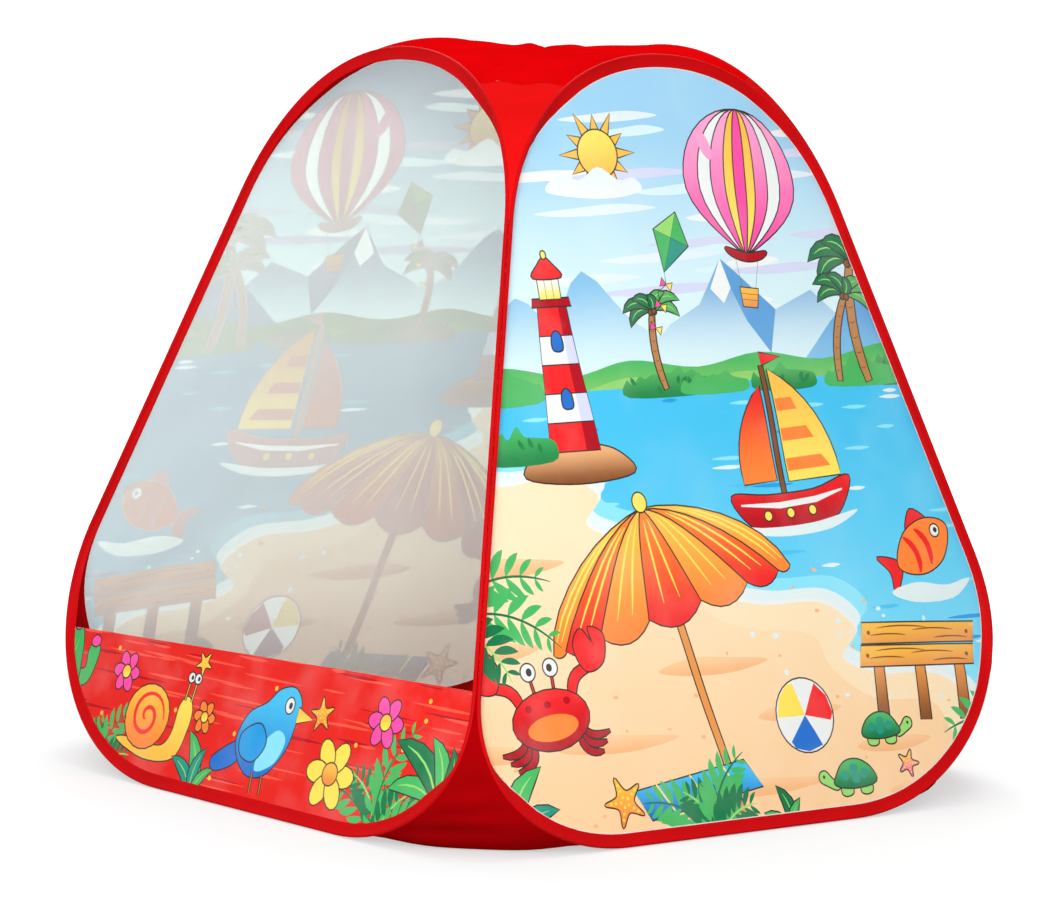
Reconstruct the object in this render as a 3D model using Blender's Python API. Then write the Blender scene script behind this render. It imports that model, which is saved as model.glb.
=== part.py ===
"""Twist-fold play tent: four leaning fabric walls, each stretched in a closed spring hoop.

Metres, +Z up. The origin is the middle of the ground under the tent, and the doorway faces -Y.
Each wall has its own plane with coordinates (u, v): u runs along the ground, to the right as
seen from outside, and v runs up the leaning wall from the ground line.
"""

import math

import bmesh
import bpy
import numpy as np

# The leaning walls
HALF_BASE = 0.470
WALL_LEAN = math.radians(16.92)

# The hoop, as distances in its wall's plane
HOOP_PEAK = 0.922
LEG_TOP = 0.730
SHOULDER_RISE = 0.095
PEAK_RUN = 0.150
TIGHT_LEG_END = 0.190
TIGHT_FOOT = 0.230
ROUND_LEG_END = 0.300
ROUND_FOOT = 0.120
TIGHT_LEG_HANDLE_SHARE = 0.60
ROUND_LEG_HANDLE_SHARE = 0.52
FOOT_HANDLE_SHARE = 0.50
CORNER_STEPS = 10
ARCH_STEPS = 8
LEG_STEPS = 2
FOOT_STEPS = 2

# The spring wire and the crimp tube that closes it
WIRE_RADIUS = 0.00115
WIRE_END_GAP = 0.0006
WIRE_SIDES = 6
FERRULE_BORE_RADIUS = 0.0013
FERRULE_RADIUS = 0.00165
FERRULE_LENGTH = 0.030
FERRULE_SIDES = 12

# The binding tape that wraps the wire and grips the wall's edge
TAPE_THICKNESS = 0.00045
CHANNEL_HALF_WIDTH = 0.0020
CHANNEL_BACK = 0.00205
CHANNEL_BACK_HALF = 0.00115
CHANNEL_FRONT = 0.0007
LIP_DEPTH = 0.0136
FIN_LIP_DEPTH = 0.0090
FIN_FADE = 0.070

# Cloth
CLOTH = 0.0006
CLOTH_GAP = 0.0005
GRIP_DEPTH = 0.0022
SEAM_GAP = 0.0003
OPEN_SEAM_GAP = 0.0040
WALL_RING_SHARES = (0.72, 0.38)

# The skirt under the doorway
SKIRT_HEIGHT_LEFT = 0.163
SKIRT_HEIGHT_RIGHT = 0.197

# Roof and corner gussets
ROOF_LEVEL = 0.883
ROOF_PUFF = 0.007
ROOF_RING_SHARES = (0.80, 0.50, 0.20)
SHOULDER_STEP = 5
CREASE_GAP = 0.0010
GUSSET_GAP = 0.0008
GUSSET_SAG = 0.010
FULL_SAG_WIDTH = 0.230
POINT_WIDTH = 0.0064
GUSSET_COLUMNS = 4
BASE_GUSSET_COLUMNS = 6
BASE_BULGE = 0.010
BASE_GUSSET_STEP = 2
BASE_GUSSET_LIFT = 0.0013

# The floor sheet
FLOOR_INSET = 0.0036

# One overrun for every cut, the halvings that find a gusset's point, and the shading
OVERRUN = 0.050
HALVINGS = 40
SHARP_ANGLE = math.radians(35)

# Worked out from the sizes above
LEAN_COS = math.cos(WALL_LEAN)
LEAN_SIN = math.sin(WALL_LEAN)
HALF_CORNER = (math.pi - math.acos(LEAN_SIN * LEAN_SIN)) / 2
BINDING_BACK = CHANNEL_BACK + TAPE_THICKNESS
BINDING_HALF = CHANNEL_HALF_WIDTH + TAPE_THICKNESS
BINDING_BACK_HALF = CHANNEL_BACK_HALF + TAPE_THICKNESS
HOOP_FOOT = BINDING_BACK + BINDING_BACK_HALF * math.tan(WALL_LEAN)
SEAM_LEAN_COS = 1 / math.hypot(1, math.sqrt(2) * math.tan(WALL_LEAN))
SHEET_SEAT = BINDING_BACK + GUSSET_GAP + CLOTH / 2

TAPE_ROUGHNESS = 0.55
CLOTH_ROUGHNESS = 0.65
STEEL_ROUGHNESS = 0.35
FULL_METAL = 1.0
RED = (0.86, 0.015, 0.018)
DEEP_RED = (0.78, 0.008, 0.012)
SKY = (0.45, 0.74, 0.86)
STEEL = (0.45, 0.46, 0.48)

WALLS = ("front", "right", "back", "left")
ROUND_SIDES = {"front": -1, "right": 1, "back": -1, "left": 1}
OPEN_SIDES = {"back": 1, "left": -1}


def unit(vector):
    """The vector at length one."""
    return vector / np.linalg.norm(vector)


def bezier(points, share):
    """The point and the direction of a cubic curve at a share of its way."""
    a, b, c, d = (np.array(point, float) for point in points)
    rest = 1 - share
    place = a * rest**3 + 3 * b * share * rest**2 + 3 * c * share**2 * rest + d * share**3
    slope = (b - a) * rest**2 + 2 * (c - b) * share * rest + (d - c) * share**2
    return place, unit(slope)


class Wall:
    """One leaning wall: its plane, and the outline of its hoop from both sides' sizes."""

    def __init__(self, name):
        self.name = name
        self.turn = WALLS.index(name) * math.pi / 2
        self.round_side = ROUND_SIDES[name]
        self.open_side = OPEN_SIDES.get(name, 0)

    def place(self, u, v, w=0.0):
        """A point of the wall's plane in the world, w metres out of it."""
        x = u
        y = -HALF_BASE + v * LEAN_SIN - w * LEAN_COS
        z = v * LEAN_COS + w * LEAN_SIN
        turn_cos, turn_sin = math.cos(self.turn), math.sin(self.turn)
        return np.array((x * turn_cos - y * turn_sin, x * turn_sin + y * turn_cos, z))

    def direction(self, u, v, w):
        """A direction of the wall's plane in the world."""
        return self.place(u, v, w) - self.place(0, 0)

    def leg_inset(self, side):
        """How far the wire lies inside the corner line, so that two bindings stand face to face."""
        gap = OPEN_SEAM_GAP if side == self.open_side else SEAM_GAP
        return (BINDING_HALF + gap / 2) / math.sin(HALF_CORNER)

    def leg_point(self, v, side):
        """The wire's place on a straight leg at slope height v."""
        corner = HALF_BASE - v * LEAN_SIN
        return np.array((side * (corner - self.leg_inset(side) / self.leg_cosine()), v))

    @staticmethod
    def leg_cosine():
        """The cosine of a leg's lean inside its wall's plane."""
        return 1 / math.hypot(1, LEAN_SIN)

    def leg_direction(self, side):
        """The way up a leg, in the wall's plane."""
        return unit(np.array((-side * LEAN_SIN, 1.0)))

    def corner(self, side, share):
        """The bottom corner's curve from the foot (0) to the leg (1)."""
        is_round = side == self.round_side
        foot = ROUND_FOOT if is_round else TIGHT_FOOT
        leg_end = ROUND_LEG_END if is_round else TIGHT_LEG_END
        handle = ROUND_LEG_HANDLE_SHARE if is_round else TIGHT_LEG_HANDLE_SHARE
        start = np.array((side * foot, HOOP_FOOT))
        end = self.leg_point(leg_end, side)
        meet = self.leg_point(HOOP_FOOT, side)
        low = start + (meet - start) * FOOT_HANDLE_SHARE
        high = end + (meet - end) * handle
        return bezier((start, low, high, end), share)

    def arch(self, side, share):
        """The arch's curve from the leg (0) to the peak (1)."""
        start = self.leg_point(LEG_TOP, side)
        high = start + self.leg_direction(side) * SHOULDER_RISE
        peak = np.array((0.0, HOOP_PEAK))
        run = np.array((side * PEAK_RUN, HOOP_PEAK))
        return bezier((start, high, run, peak), share)

    def frame(self, place, tangent, side):
        """World point, tangent, lip direction and lip depth where the hoop has this place."""
        inward = np.array((-tangent[1], tangent[0])) * side
        outward_leg = np.array((side * 1.0, LEAN_SIN)) * self.leg_cosine()
        leg_foot = self.leg_point(0.0, side)
        away = -np.dot(place - leg_foot, outward_leg)
        near = max(0.0, min(1.0, 1 - away / FIN_FADE))
        near = near * near * (3 - 2 * near)
        fin = -np.array((*(outward_leg * math.cos(HALF_CORNER)), math.sin(HALF_CORNER)))
        lip = unit((1 - near) * np.array((*inward, 0.0)) + near * fin)
        depth = LIP_DEPTH + (FIN_LIP_DEPTH - LIP_DEPTH) * near
        along = self.direction(*(tangent * side), 0.0)
        world_lip = self.direction(*lip)
        world_lip = unit(world_lip - along * np.dot(world_lip, along))
        return self.place(*place), along, world_lip, depth

    def hoop(self):
        """Frames round the whole hoop, from the middle of the bottom to the right and up."""
        frames = []
        for side in (1, -1):
            half = []
            for step in range(FOOT_STEPS):
                foot = ROUND_FOOT if side == self.round_side else TIGHT_FOOT
                place = np.array((side * foot * step / FOOT_STEPS, HOOP_FOOT))
                half.append((place, np.array((side * 1.0, 0.0))))
            half += [self.corner(side, step / CORNER_STEPS) for step in range(CORNER_STEPS + 1)]
            low, high = half[-1][0], self.leg_point(LEG_TOP, side)
            for step in range(1, LEG_STEPS):
                half.append((low + (high - low) * step / LEG_STEPS, self.leg_direction(side)))
            half += [self.arch(side, step / ARCH_STEPS) for step in range(ARCH_STEPS + 1)]
            made = [self.frame(place, tangent, side) for place, tangent in half]
            frames += made if side == 1 else made[-2:0:-1]
        return frames

    def edge(self, curve, side, step):
        """Where another cloth meets the binding's back, at a step of a corner or an arch."""
        steps = {"corner": CORNER_STEPS, "arch": ARCH_STEPS}[curve]
        low = min(int(step), steps - 1)
        ends = []
        for whole in (low, low + 1):
            place, tangent = getattr(self, curve)(side, whole / steps)
            point, _, lip, _ = self.frame(place, tangent, side)
            ends.append(point - lip * SHEET_SEAT)
        return ends[0] + (ends[1] - ends[0]) * (step - low)


def surface(name, points, faces):
    """A mesh object with these points and faces."""
    mesh = bpy.data.meshes.new(name)
    mesh.from_pydata([tuple(point) for point in points], [], faces)
    obj = bpy.data.objects.new(name, mesh)
    bpy.context.scene.collection.objects.link(obj)
    return obj


def face_outwards(obj):
    """Turns a closed mesh's faces outwards."""
    work = bmesh.new()
    work.from_mesh(obj.data)
    bmesh.ops.recalc_face_normals(work, faces=work.faces)
    if work.calc_volume(signed=True) < 0:
        bmesh.ops.reverse_faces(work, faces=work.faces)
    work.to_mesh(obj.data)
    work.free()


def thicken(obj, thickness):
    """Gives a cloth surface its thickness, half to each side."""
    solid = obj.modifiers.new("Cloth", "SOLIDIFY")
    solid.thickness = thickness
    solid.offset = 0
    solid.use_even_offset = False


def split_quad(quad, from_first):
    """A twisted quad's two triangles, so that two surfaces of one twist stay alongside."""
    a, b, c, d = quad
    return [(a, b, c), (a, c, d)] if from_first else [(a, b, d), (b, c, d)]


def sweep(name, frames, section, closed=True):
    """A body swept along frames. section gives (distance along the lip, height) from a lip depth."""
    points, faces = [], []
    for point, along, lip, depth in frames:
        height = np.cross(along, lip)
        points += [point + lip * a + height * b for a, b in section(depth)]
    outline = section(LIP_DEPTH)
    count = len(outline)
    rounds = len(frames) if closed else len(frames) - 1
    for ring in range(rounds):
        first, second = ring * count, (ring + 1) % len(frames) * count
        for side in range(count):
            following = (side + 1) % count
            quad = (first + side, first + following, second + following, second + side)
            faces += split_quad(quad, outline[side][0] >= outline[following][0])
    if not closed:
        faces.append(tuple(range(count)))
        faces.append(tuple(range((len(frames) - 1) * count, len(frames) * count)))
    obj = surface(name, points, faces)
    face_outwards(obj)
    return obj


def ring_section(radius, sides):
    """A round section with this many sides."""
    turns = [2 * math.pi * (side + 0.5) / sides for side in range(sides)]
    return lambda depth: [(radius * math.cos(turn), radius * math.sin(turn)) for turn in turns]


def tape_section(depth):
    """The folded tape: a channel round the wire that narrows to a slot for the wall's edge."""
    slot = CLOTH / 2 + CLOTH_GAP
    inner = [
        (depth, slot),
        (CHANNEL_FRONT, CHANNEL_HALF_WIDTH),
        (-CHANNEL_BACK, CHANNEL_BACK_HALF),
    ]
    outer = [
        (depth, slot + TAPE_THICKNESS),
        (CHANNEL_FRONT, BINDING_HALF),
        (-BINDING_BACK, BINDING_BACK_HALF),
    ]
    inside = inner + [(a, -b) for a, b in reversed(inner)]
    outside = outer + [(a, -b) for a, b in reversed(outer)]
    return outside + inside[::-1]


def make_hoop(wall):
    """The spring wire, one open ring whose ends meet in the crimp tube."""
    frames = wall.hoop()
    point, along, lip, depth = frames[0]
    first = (point + along * WIRE_END_GAP / 2, along, lip, depth)
    last = (point - along * WIRE_END_GAP / 2, along, lip, depth)
    return sweep(
        f"{wall.name}_hoop_wire",
        [first, *frames[1:], last],
        ring_section(WIRE_RADIUS, WIRE_SIDES),
        closed=False,
    )


def make_ferrule(wall):
    """The crimp tube over the wire's two ends."""
    point, along, lip, depth = wall.hoop()[0]
    ends = [(point + along * end * FERRULE_LENGTH / 2, along, lip, depth) for end in (-1, 1)]
    outer = ring_section(FERRULE_RADIUS, FERRULE_SIDES)(depth)
    inner = ring_section(FERRULE_BORE_RADIUS, FERRULE_SIDES)(depth)
    points, faces = [], []
    for place, way, lip, _ in ends:
        height = np.cross(way, lip)
        points += [place + lip * a + height * b for a, b in outer + inner]
    count = FERRULE_SIDES
    for side in range(count):
        following = (side + 1) % count
        for near, far in ((0, 2), (1, 3), (0, 1), (2, 3)):
            first, second = near * count, far * count
            faces.append((first + side, first + following, second + following, second + side))
    obj = surface(f"{wall.name}_hoop_ferrule", points, faces)
    face_outwards(obj)
    return obj


def ringed(rings, middle):
    """Points and faces of a surface made of rings, one inside the other, round a middle point."""
    count = len(rings[0])
    points = [point for ring in rings for point in ring] + [middle]
    faces = []
    for ring in range(len(rings) - 1):
        outer, inner = ring * count, (ring + 1) * count
        for step in range(count):
            following = (step + 1) % count
            quad = (outer + step, outer + following, inner + following, inner + step)
            faces += split_quad(quad, False)
    last = (len(rings) - 1) * count
    faces += [(last + step, last + (step + 1) % count, len(points) - 1) for step in range(count)]
    return points, faces


def make_wall_cloth(wall, name):
    """The wall's cloth, held in the binding's slot and stretched across the hoop."""
    frames = wall.hoop()
    edge = [point + lip * (depth - GRIP_DEPTH) for point, _, lip, depth in frames]
    mouth = [point + lip * (depth + CLOTH_GAP) for point, _, lip, depth in frames]
    middle = wall.place(0, HOOP_PEAK / 2)
    rings = [edge, mouth]
    rings += [[middle + (point - middle) * share for point in mouth] for share in WALL_RING_SHARES]
    obj = surface(name, *ringed(rings, middle))
    thicken(obj, CLOTH)
    return obj


def cut_skirt(obj, wall):
    """Cuts the doorway out of the front cloth, above the skirt's sloping top."""
    reach = HALF_BASE + OVERRUN
    slope = (SKIRT_HEIGHT_RIGHT - SKIRT_HEIGHT_LEFT) / (2 * HALF_BASE)
    left = SKIRT_HEIGHT_LEFT - slope * OVERRUN
    right = SKIRT_HEIGHT_RIGHT + slope * OVERRUN
    top = HOOP_PEAK + OVERRUN
    outline = [(-reach, left), (reach, right), (reach, top), (-reach, top)]
    points = [wall.place(u, v, w) for w in (-OVERRUN, OVERRUN) for u, v in outline]
    faces = [(0, 1, 2, 3), (4, 5, 6, 7)]
    faces += [(side, (side + 1) % 4, 4 + (side + 1) % 4, 4 + side) for side in range(4)]
    cutter = surface("doorway_cutter", points, faces)
    face_outwards(cutter)
    cutter.hide_render = True
    cutter.display_type = "WIRE"
    cut = obj.modifiers.new("Doorway", "BOOLEAN")
    cut.operation = "DIFFERENCE"
    cut.object = cutter


def grid_cloth(name, rows):
    """A cloth through rows of points."""
    columns = len(rows[0])
    points = [point for row in rows for point in row]
    faces = []
    for row in range(len(rows) - 1):
        for column in range(columns - 1):
            a = row * columns + column
            faces.append((a, a + 1, a + columns + 1, a + columns))
    obj = surface(name, points, faces)
    thicken(obj, CLOTH)
    return obj


def corner_outward(wall):
    """The level direction out of the corner at a wall's right side."""
    turn = wall.turn - math.pi / 4
    return np.array((math.cos(turn), math.sin(turn), 0.0))


def puff(share):
    """The roof cloth's rise along a crease: nothing at its ends and at its middle."""
    return ROOF_PUFF * math.sin(2 * math.pi * share) ** 2


def step_at_width(first, second, curve, narrow, wide):
    """The step of two facing curves at which they stand a gusset point's width apart."""
    for _ in range(HALVINGS):
        middle = (narrow + wide) / 2
        apart = np.linalg.norm(first.edge(curve, 1, middle) - second.edge(curve, -1, middle))
        if apart < POINT_WIDTH:
            narrow = middle
        else:
            wide = middle
    return wide


def crease_point(a, b, out, across):
    """A point across the corner between two arches, drawn in towards the tent's middle."""
    wide = min(1.0, np.linalg.norm(b - a) / FULL_SAG_WIDTH)
    return a + (b - a) * across - out * GUSSET_SAG * wide * 4 * across * (1 - across)


def make_roof_gusset(first, second, name):
    """The cloth that fills the corner between two arches, down to a point on the seam."""
    out = corner_outward(first)
    start = step_at_width(first, second, "arch", 0, SHOULDER_STEP)
    steps = [start, *range(math.floor(start) + 1, SHOULDER_STEP + 1)]
    rows = []
    for step in steps:
        a, b = first.edge("arch", 1, step), second.edge("arch", -1, step)
        line = []
        for column in range(GUSSET_COLUMNS + 1):
            across = column / GUSSET_COLUMNS
            point = crease_point(a, b, out, across)
            if step == SHOULDER_STEP:
                point = point + np.array((0, 0, puff(across) - CREASE_GAP))
            line.append(point)
        rows.append(line)
    return grid_cloth(name, rows)


def base_row(first, second, step):
    """A row of points across a base gusset, at a step of the two bottom corners."""
    a, b = first.edge("corner", 1, step), second.edge("corner", -1, step)
    drop = ((CORNER_STEPS - step) / (CORNER_STEPS - BASE_GUSSET_STEP)) ** 2
    out = corner_outward(first)
    line = []
    for column in range(BASE_GUSSET_COLUMNS + 1):
        across = column / BASE_GUSSET_COLUMNS
        point = a + (b - a) * across
        line.append(point + out * BASE_BULGE * drop * 4 * across * (1 - across))
    return line


def make_base_gusset(first, second, name):
    """The cloth that fills the corner under a seam, from its point down to the floor sheet."""
    end = step_at_width(first, second, "corner", CORNER_STEPS, BASE_GUSSET_STEP)
    steps = [*range(BASE_GUSSET_STEP, math.ceil(end)), end]
    rows = [base_row(first, second, step) for step in steps]
    rows[0] = [np.array((point[0], point[1], BASE_GUSSET_LIFT)) for point in rows[0]]
    return grid_cloth(name, rows)


def make_roof(walls):
    """The roof cloth, from arch to arch and from crease to crease."""
    rim = []
    for number, wall in enumerate(walls):
        following = walls[(number + 1) % len(walls)]
        rim += [wall.edge("arch", -1, step) for step in range(SHOULDER_STEP, ARCH_STEPS)]
        rim += [wall.edge("arch", 1, step) for step in range(ARCH_STEPS, SHOULDER_STEP - 1, -1)]
        a, b = wall.edge("arch", 1, SHOULDER_STEP), following.edge("arch", -1, SHOULDER_STEP)
        for column in range(1, GUSSET_COLUMNS):
            across = column / GUSSET_COLUMNS
            point = crease_point(a, b, corner_outward(wall), across)
            rim.append(point + np.array((0, 0, puff(across))))
    middle = np.array((0, 0, ROOF_LEVEL))
    rings = [rim]
    for share in ROOF_RING_SHARES:
        ring = []
        for point in rim:
            rise = (point[2] - ROOF_LEVEL) * share * share
            ring.append(np.array((point[0] * share, point[1] * share, ROOF_LEVEL + rise)))
        rings.append(ring)
    obj = surface("roof_crown", *ringed(rings, middle))
    thicken(obj, CLOTH)
    return obj


def make_floor(walls):
    """The floor sheet, inside the bindings and under the base gussets."""
    outline = []
    for number, wall in enumerate(walls):
        following = walls[(number + 1) % len(walls)]
        for side in (-1, 1):
            foot = ROUND_FOOT if side == wall.round_side else TIGHT_FOOT
            outline.append(wall.place(side * foot, 0.0, -FLOOR_INSET))
        outline += base_row(wall, following, BASE_GUSSET_STEP)
    points = []
    for height in (0.0, CLOTH):
        points += [(point[0], point[1], height) for point in outline]
    count = len(outline)
    faces = [tuple(range(count)), tuple(range(count, 2 * count))]
    for step in range(count):
        following = (step + 1) % count
        faces.append((step, following, count + following, count + step))
    obj = surface("floor_sheet", points, faces)
    face_outwards(obj)
    return obj


def finish(obj, colour, roughness, metallic=0.0):
    """Gives a piece its own material."""
    material = bpy.data.materials.new(obj.name)
    material.use_nodes = True
    shader = material.node_tree.nodes["Principled BSDF"]
    shader.inputs["Base Color"].default_value = (*colour, 1.0)
    shader.inputs["Roughness"].default_value = roughness
    shader.inputs["Metallic"].default_value = metallic
    obj.data.materials.append(material)
    obj.data.shade_smooth()
    obj.data.set_sharp_from_angle(angle=SHARP_ANGLE)


def hang_on_axis(body, pieces, axis_foot):
    """Parents a wall's pieces to an empty on its seam's hinge line."""
    hinge = bpy.data.objects.new(f"{body}_hinge", None)
    hinge.location = tuple(axis_foot)
    bpy.context.scene.collection.objects.link(hinge)
    for obj in pieces:
        for vertex in obj.data.vertices:
            vertex.co.x -= axis_foot[0]
            vertex.co.y -= axis_foot[1]
            vertex.co.z -= axis_foot[2]
        obj.parent = hinge


def seam_foot(wall, offset):
    """The ground point of a hinge line that lies this far outside the leaning seam at a wall's right."""
    corner = wall.place(HALF_BASE, 0.0)
    return corner + corner_outward(wall) * offset / SEAM_LEAN_COS


def clear_scene():
    """Removes what the scene holds."""
    for obj in list(bpy.data.objects):
        bpy.data.objects.remove(obj)


def main():
    """Builds the tent."""
    clear_scene()
    walls = [Wall(name) for name in WALLS]
    bodies = {}
    for wall in walls:
        binding = sweep(f"{wall.name}_binding", wall.hoop(), tape_section)
        finish(binding, RED, TAPE_ROUGHNESS)
        hoop = make_hoop(wall)
        finish(hoop, STEEL, STEEL_ROUGHNESS, FULL_METAL)
        ferrule = make_ferrule(wall)
        finish(ferrule, STEEL, STEEL_ROUGHNESS, FULL_METAL)
        if wall.name == "front":
            cloth = make_wall_cloth(wall, "door_skirt")
            cut_skirt(cloth, wall)
            finish(cloth, DEEP_RED, CLOTH_ROUGHNESS)
        else:
            cloth = make_wall_cloth(wall, f"{wall.name}_wall_cloth")
            finish(cloth, SKY, CLOTH_ROUGHNESS)
        bodies[wall.name] = [binding, hoop, ferrule, cloth]
    carriers = dict(zip(WALLS, ("right", "right", "back", "front")))
    for number, wall in enumerate(walls):
        following = walls[(number + 1) % len(walls)]
        corner = f"{wall.name}_{following.name}"
        roof_gusset = make_roof_gusset(wall, following, f"{corner}_roof_gusset")
        finish(roof_gusset, RED, CLOTH_ROUGHNESS)
        base_gusset = make_base_gusset(wall, following, f"{corner}_base_gusset")
        finish(base_gusset, DEEP_RED, CLOTH_ROUGHNESS)
        bodies[carriers[wall.name]] += [roof_gusset, base_gusset]
    finish(make_roof(walls), RED, CLOTH_ROUGHNESS)
    finish(make_floor(walls), DEEP_RED, CLOTH_ROUGHNESS)
    front, right, _, left = walls
    wire_depth = front.leg_inset(1) * math.cos(HALF_CORNER)
    tape_back = BINDING_BACK - wire_depth
    tape_edge = -(wire_depth + FIN_LIP_DEPTH)
    hang_on_axis("front", bodies["front"], seam_foot(front, tape_back))
    hang_on_axis("back", bodies["back"], seam_foot(right, tape_edge))
    hang_on_axis("left", bodies["left"], seam_foot(left, tape_edge))


main()
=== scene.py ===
"""The looks of a twist-fold play tent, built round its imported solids.

Metres, +Z up, with the doorway facing -Y. Each leaning wall has its own plane with coordinates
(u, v, w): u runs along the ground, to the right as seen from outside, v runs up the leaning wall
from the ground line, and w points out of it.
"""

from __future__ import annotations

import logging
import math
from collections.abc import Callable, Iterable, Sequence
from dataclasses import dataclass
from enum import Enum

import bmesh
import bpy
import numpy as np
from bpy.types import ID, Material, NodeSocket, NodeTree, Object
from mathutils import Matrix, Vector
from mathutils.geometry import delaunay_2d_cdt

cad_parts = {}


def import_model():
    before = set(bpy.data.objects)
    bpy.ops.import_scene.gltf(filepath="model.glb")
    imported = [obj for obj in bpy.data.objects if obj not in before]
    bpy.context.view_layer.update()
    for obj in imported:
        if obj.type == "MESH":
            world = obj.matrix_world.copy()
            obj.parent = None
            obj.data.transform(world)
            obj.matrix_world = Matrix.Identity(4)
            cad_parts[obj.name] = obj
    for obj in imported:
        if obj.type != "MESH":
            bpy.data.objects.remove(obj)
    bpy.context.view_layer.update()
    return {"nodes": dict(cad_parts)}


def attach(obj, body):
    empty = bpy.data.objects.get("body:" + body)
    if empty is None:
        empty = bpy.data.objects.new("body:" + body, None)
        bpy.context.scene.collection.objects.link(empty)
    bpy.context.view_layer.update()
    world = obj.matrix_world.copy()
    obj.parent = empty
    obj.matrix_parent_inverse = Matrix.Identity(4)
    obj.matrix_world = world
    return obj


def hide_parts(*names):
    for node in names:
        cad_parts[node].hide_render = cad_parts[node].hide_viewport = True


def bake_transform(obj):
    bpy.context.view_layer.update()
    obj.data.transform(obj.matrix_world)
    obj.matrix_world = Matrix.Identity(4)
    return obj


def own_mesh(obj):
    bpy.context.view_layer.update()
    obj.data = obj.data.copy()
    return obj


LOG = logging.getLogger("play_tent")
MM = 0.001
TINY = 1e-9
PRINT = "Print"
FACING = "facing"
UP = np.array((0.0, 0.0, 1.0))
Array = np.ndarray
Rgb = tuple[float, float, float]
Point = tuple[float, float]
Line = np.ndarray | Sequence[Point]
WHITE: Rgb = (1.0, 1.0, 1.0)
BLACK: Rgb = (0.0, 0.0, 0.0)


def linear(red: float, green: float, blue: float) -> Rgb:
    """A screen colour, 0 to 255, as the linear colour that a shader takes."""
    shares = (channel / 255 for channel in (red, green, blue))
    return tuple(c / 12.92 if c <= 0.04045 else ((c + 0.055) / 1.055) ** 2.4 for c in shares)


def smooth(share: Array) -> Array:
    """A share from 0 to 1 that starts and ends level."""
    held = np.clip(share, 0.0, 1.0)
    return held * held * (3 - 2 * held)


def unit(vectors: Array) -> Array:
    """The vectors at length one."""
    return vectors / np.linalg.norm(vectors, axis=-1, keepdims=True)


class Face(Enum):
    """The four walls, with their turns from the front one in quarter turns."""

    FRONT = 0
    RIGHT = 1
    BACK = 2
    LEFT = 3

    @property
    def word(self) -> str:
        """The wall's name in lower case."""
        return self.name.lower()

    @property
    def body(self) -> str:
        """The body that the wall is part of."""
        return f"{self.word}_panel"

    @property
    def following(self) -> Face:
        """The next wall round the tent, which shares this one's right seam."""
        return Face((self.value + 1) % 4)

    @property
    def preceding(self) -> Face:
        """The wall before this one, which shares its left seam."""
        return Face((self.value + 3) % 4)


class Curve(Enum):
    """The bent runs in each half of a hoop."""

    CORNER = "bottom corner"
    ARCH = "arch"


@dataclass(frozen=True)
class HoopSizes:
    """The driving sizes of the hoops, the same as the solids have."""

    half_base: float = 0.470
    lean: float = math.radians(16.92)
    peak: float = 0.922
    leg_top: float = 0.730
    shoulder_rise: float = 0.095
    peak_run: float = 0.150
    tight_leg_end: float = 0.190
    tight_foot: float = 0.230
    round_leg_end: float = 0.300
    round_foot: float = 0.120
    tight_handle_share: float = 0.60
    round_handle_share: float = 0.52
    foot_handle_share: float = 0.50
    seam_gap: float = 0.0003
    open_seam_gap: float = 0.0040
    back: float = 0.0025
    half_width: float = 0.00245
    back_half: float = 0.0016
    lip_depth: float = 0.0136
    fin_depth: float = 0.0090
    fin_fade: float = 0.070
    corner_run: float = 0.42
    arch_run: float = 0.34

    @property
    def half_corner(self) -> float:
        """Half the angle between two walls, measured inside the tent."""
        return (math.pi - math.acos(math.sin(self.lean) ** 2)) / 2

    @property
    def foot_rise(self) -> float:
        """How far up the wall's plane the wire runs along the ground."""
        return self.back + self.back_half * math.tan(self.lean)


@dataclass
class HoopLine:
    """Samples along a hoop in its wall's plane, with the direction that the tape's lips take."""

    points: Array
    along: Array
    lips: Array
    depths: Array

    @property
    def heights(self) -> Array:
        """The direction across the tape's two lips, out of the tent."""
        return unit(np.cross(self.along, self.lips))

    @property
    def runs(self) -> Array:
        """The distance along the hoop at each sample."""
        steps = np.linalg.norm(np.diff(self.points, axis=0), axis=1)
        return np.concatenate(([0.0], np.cumsum(steps)))


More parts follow.
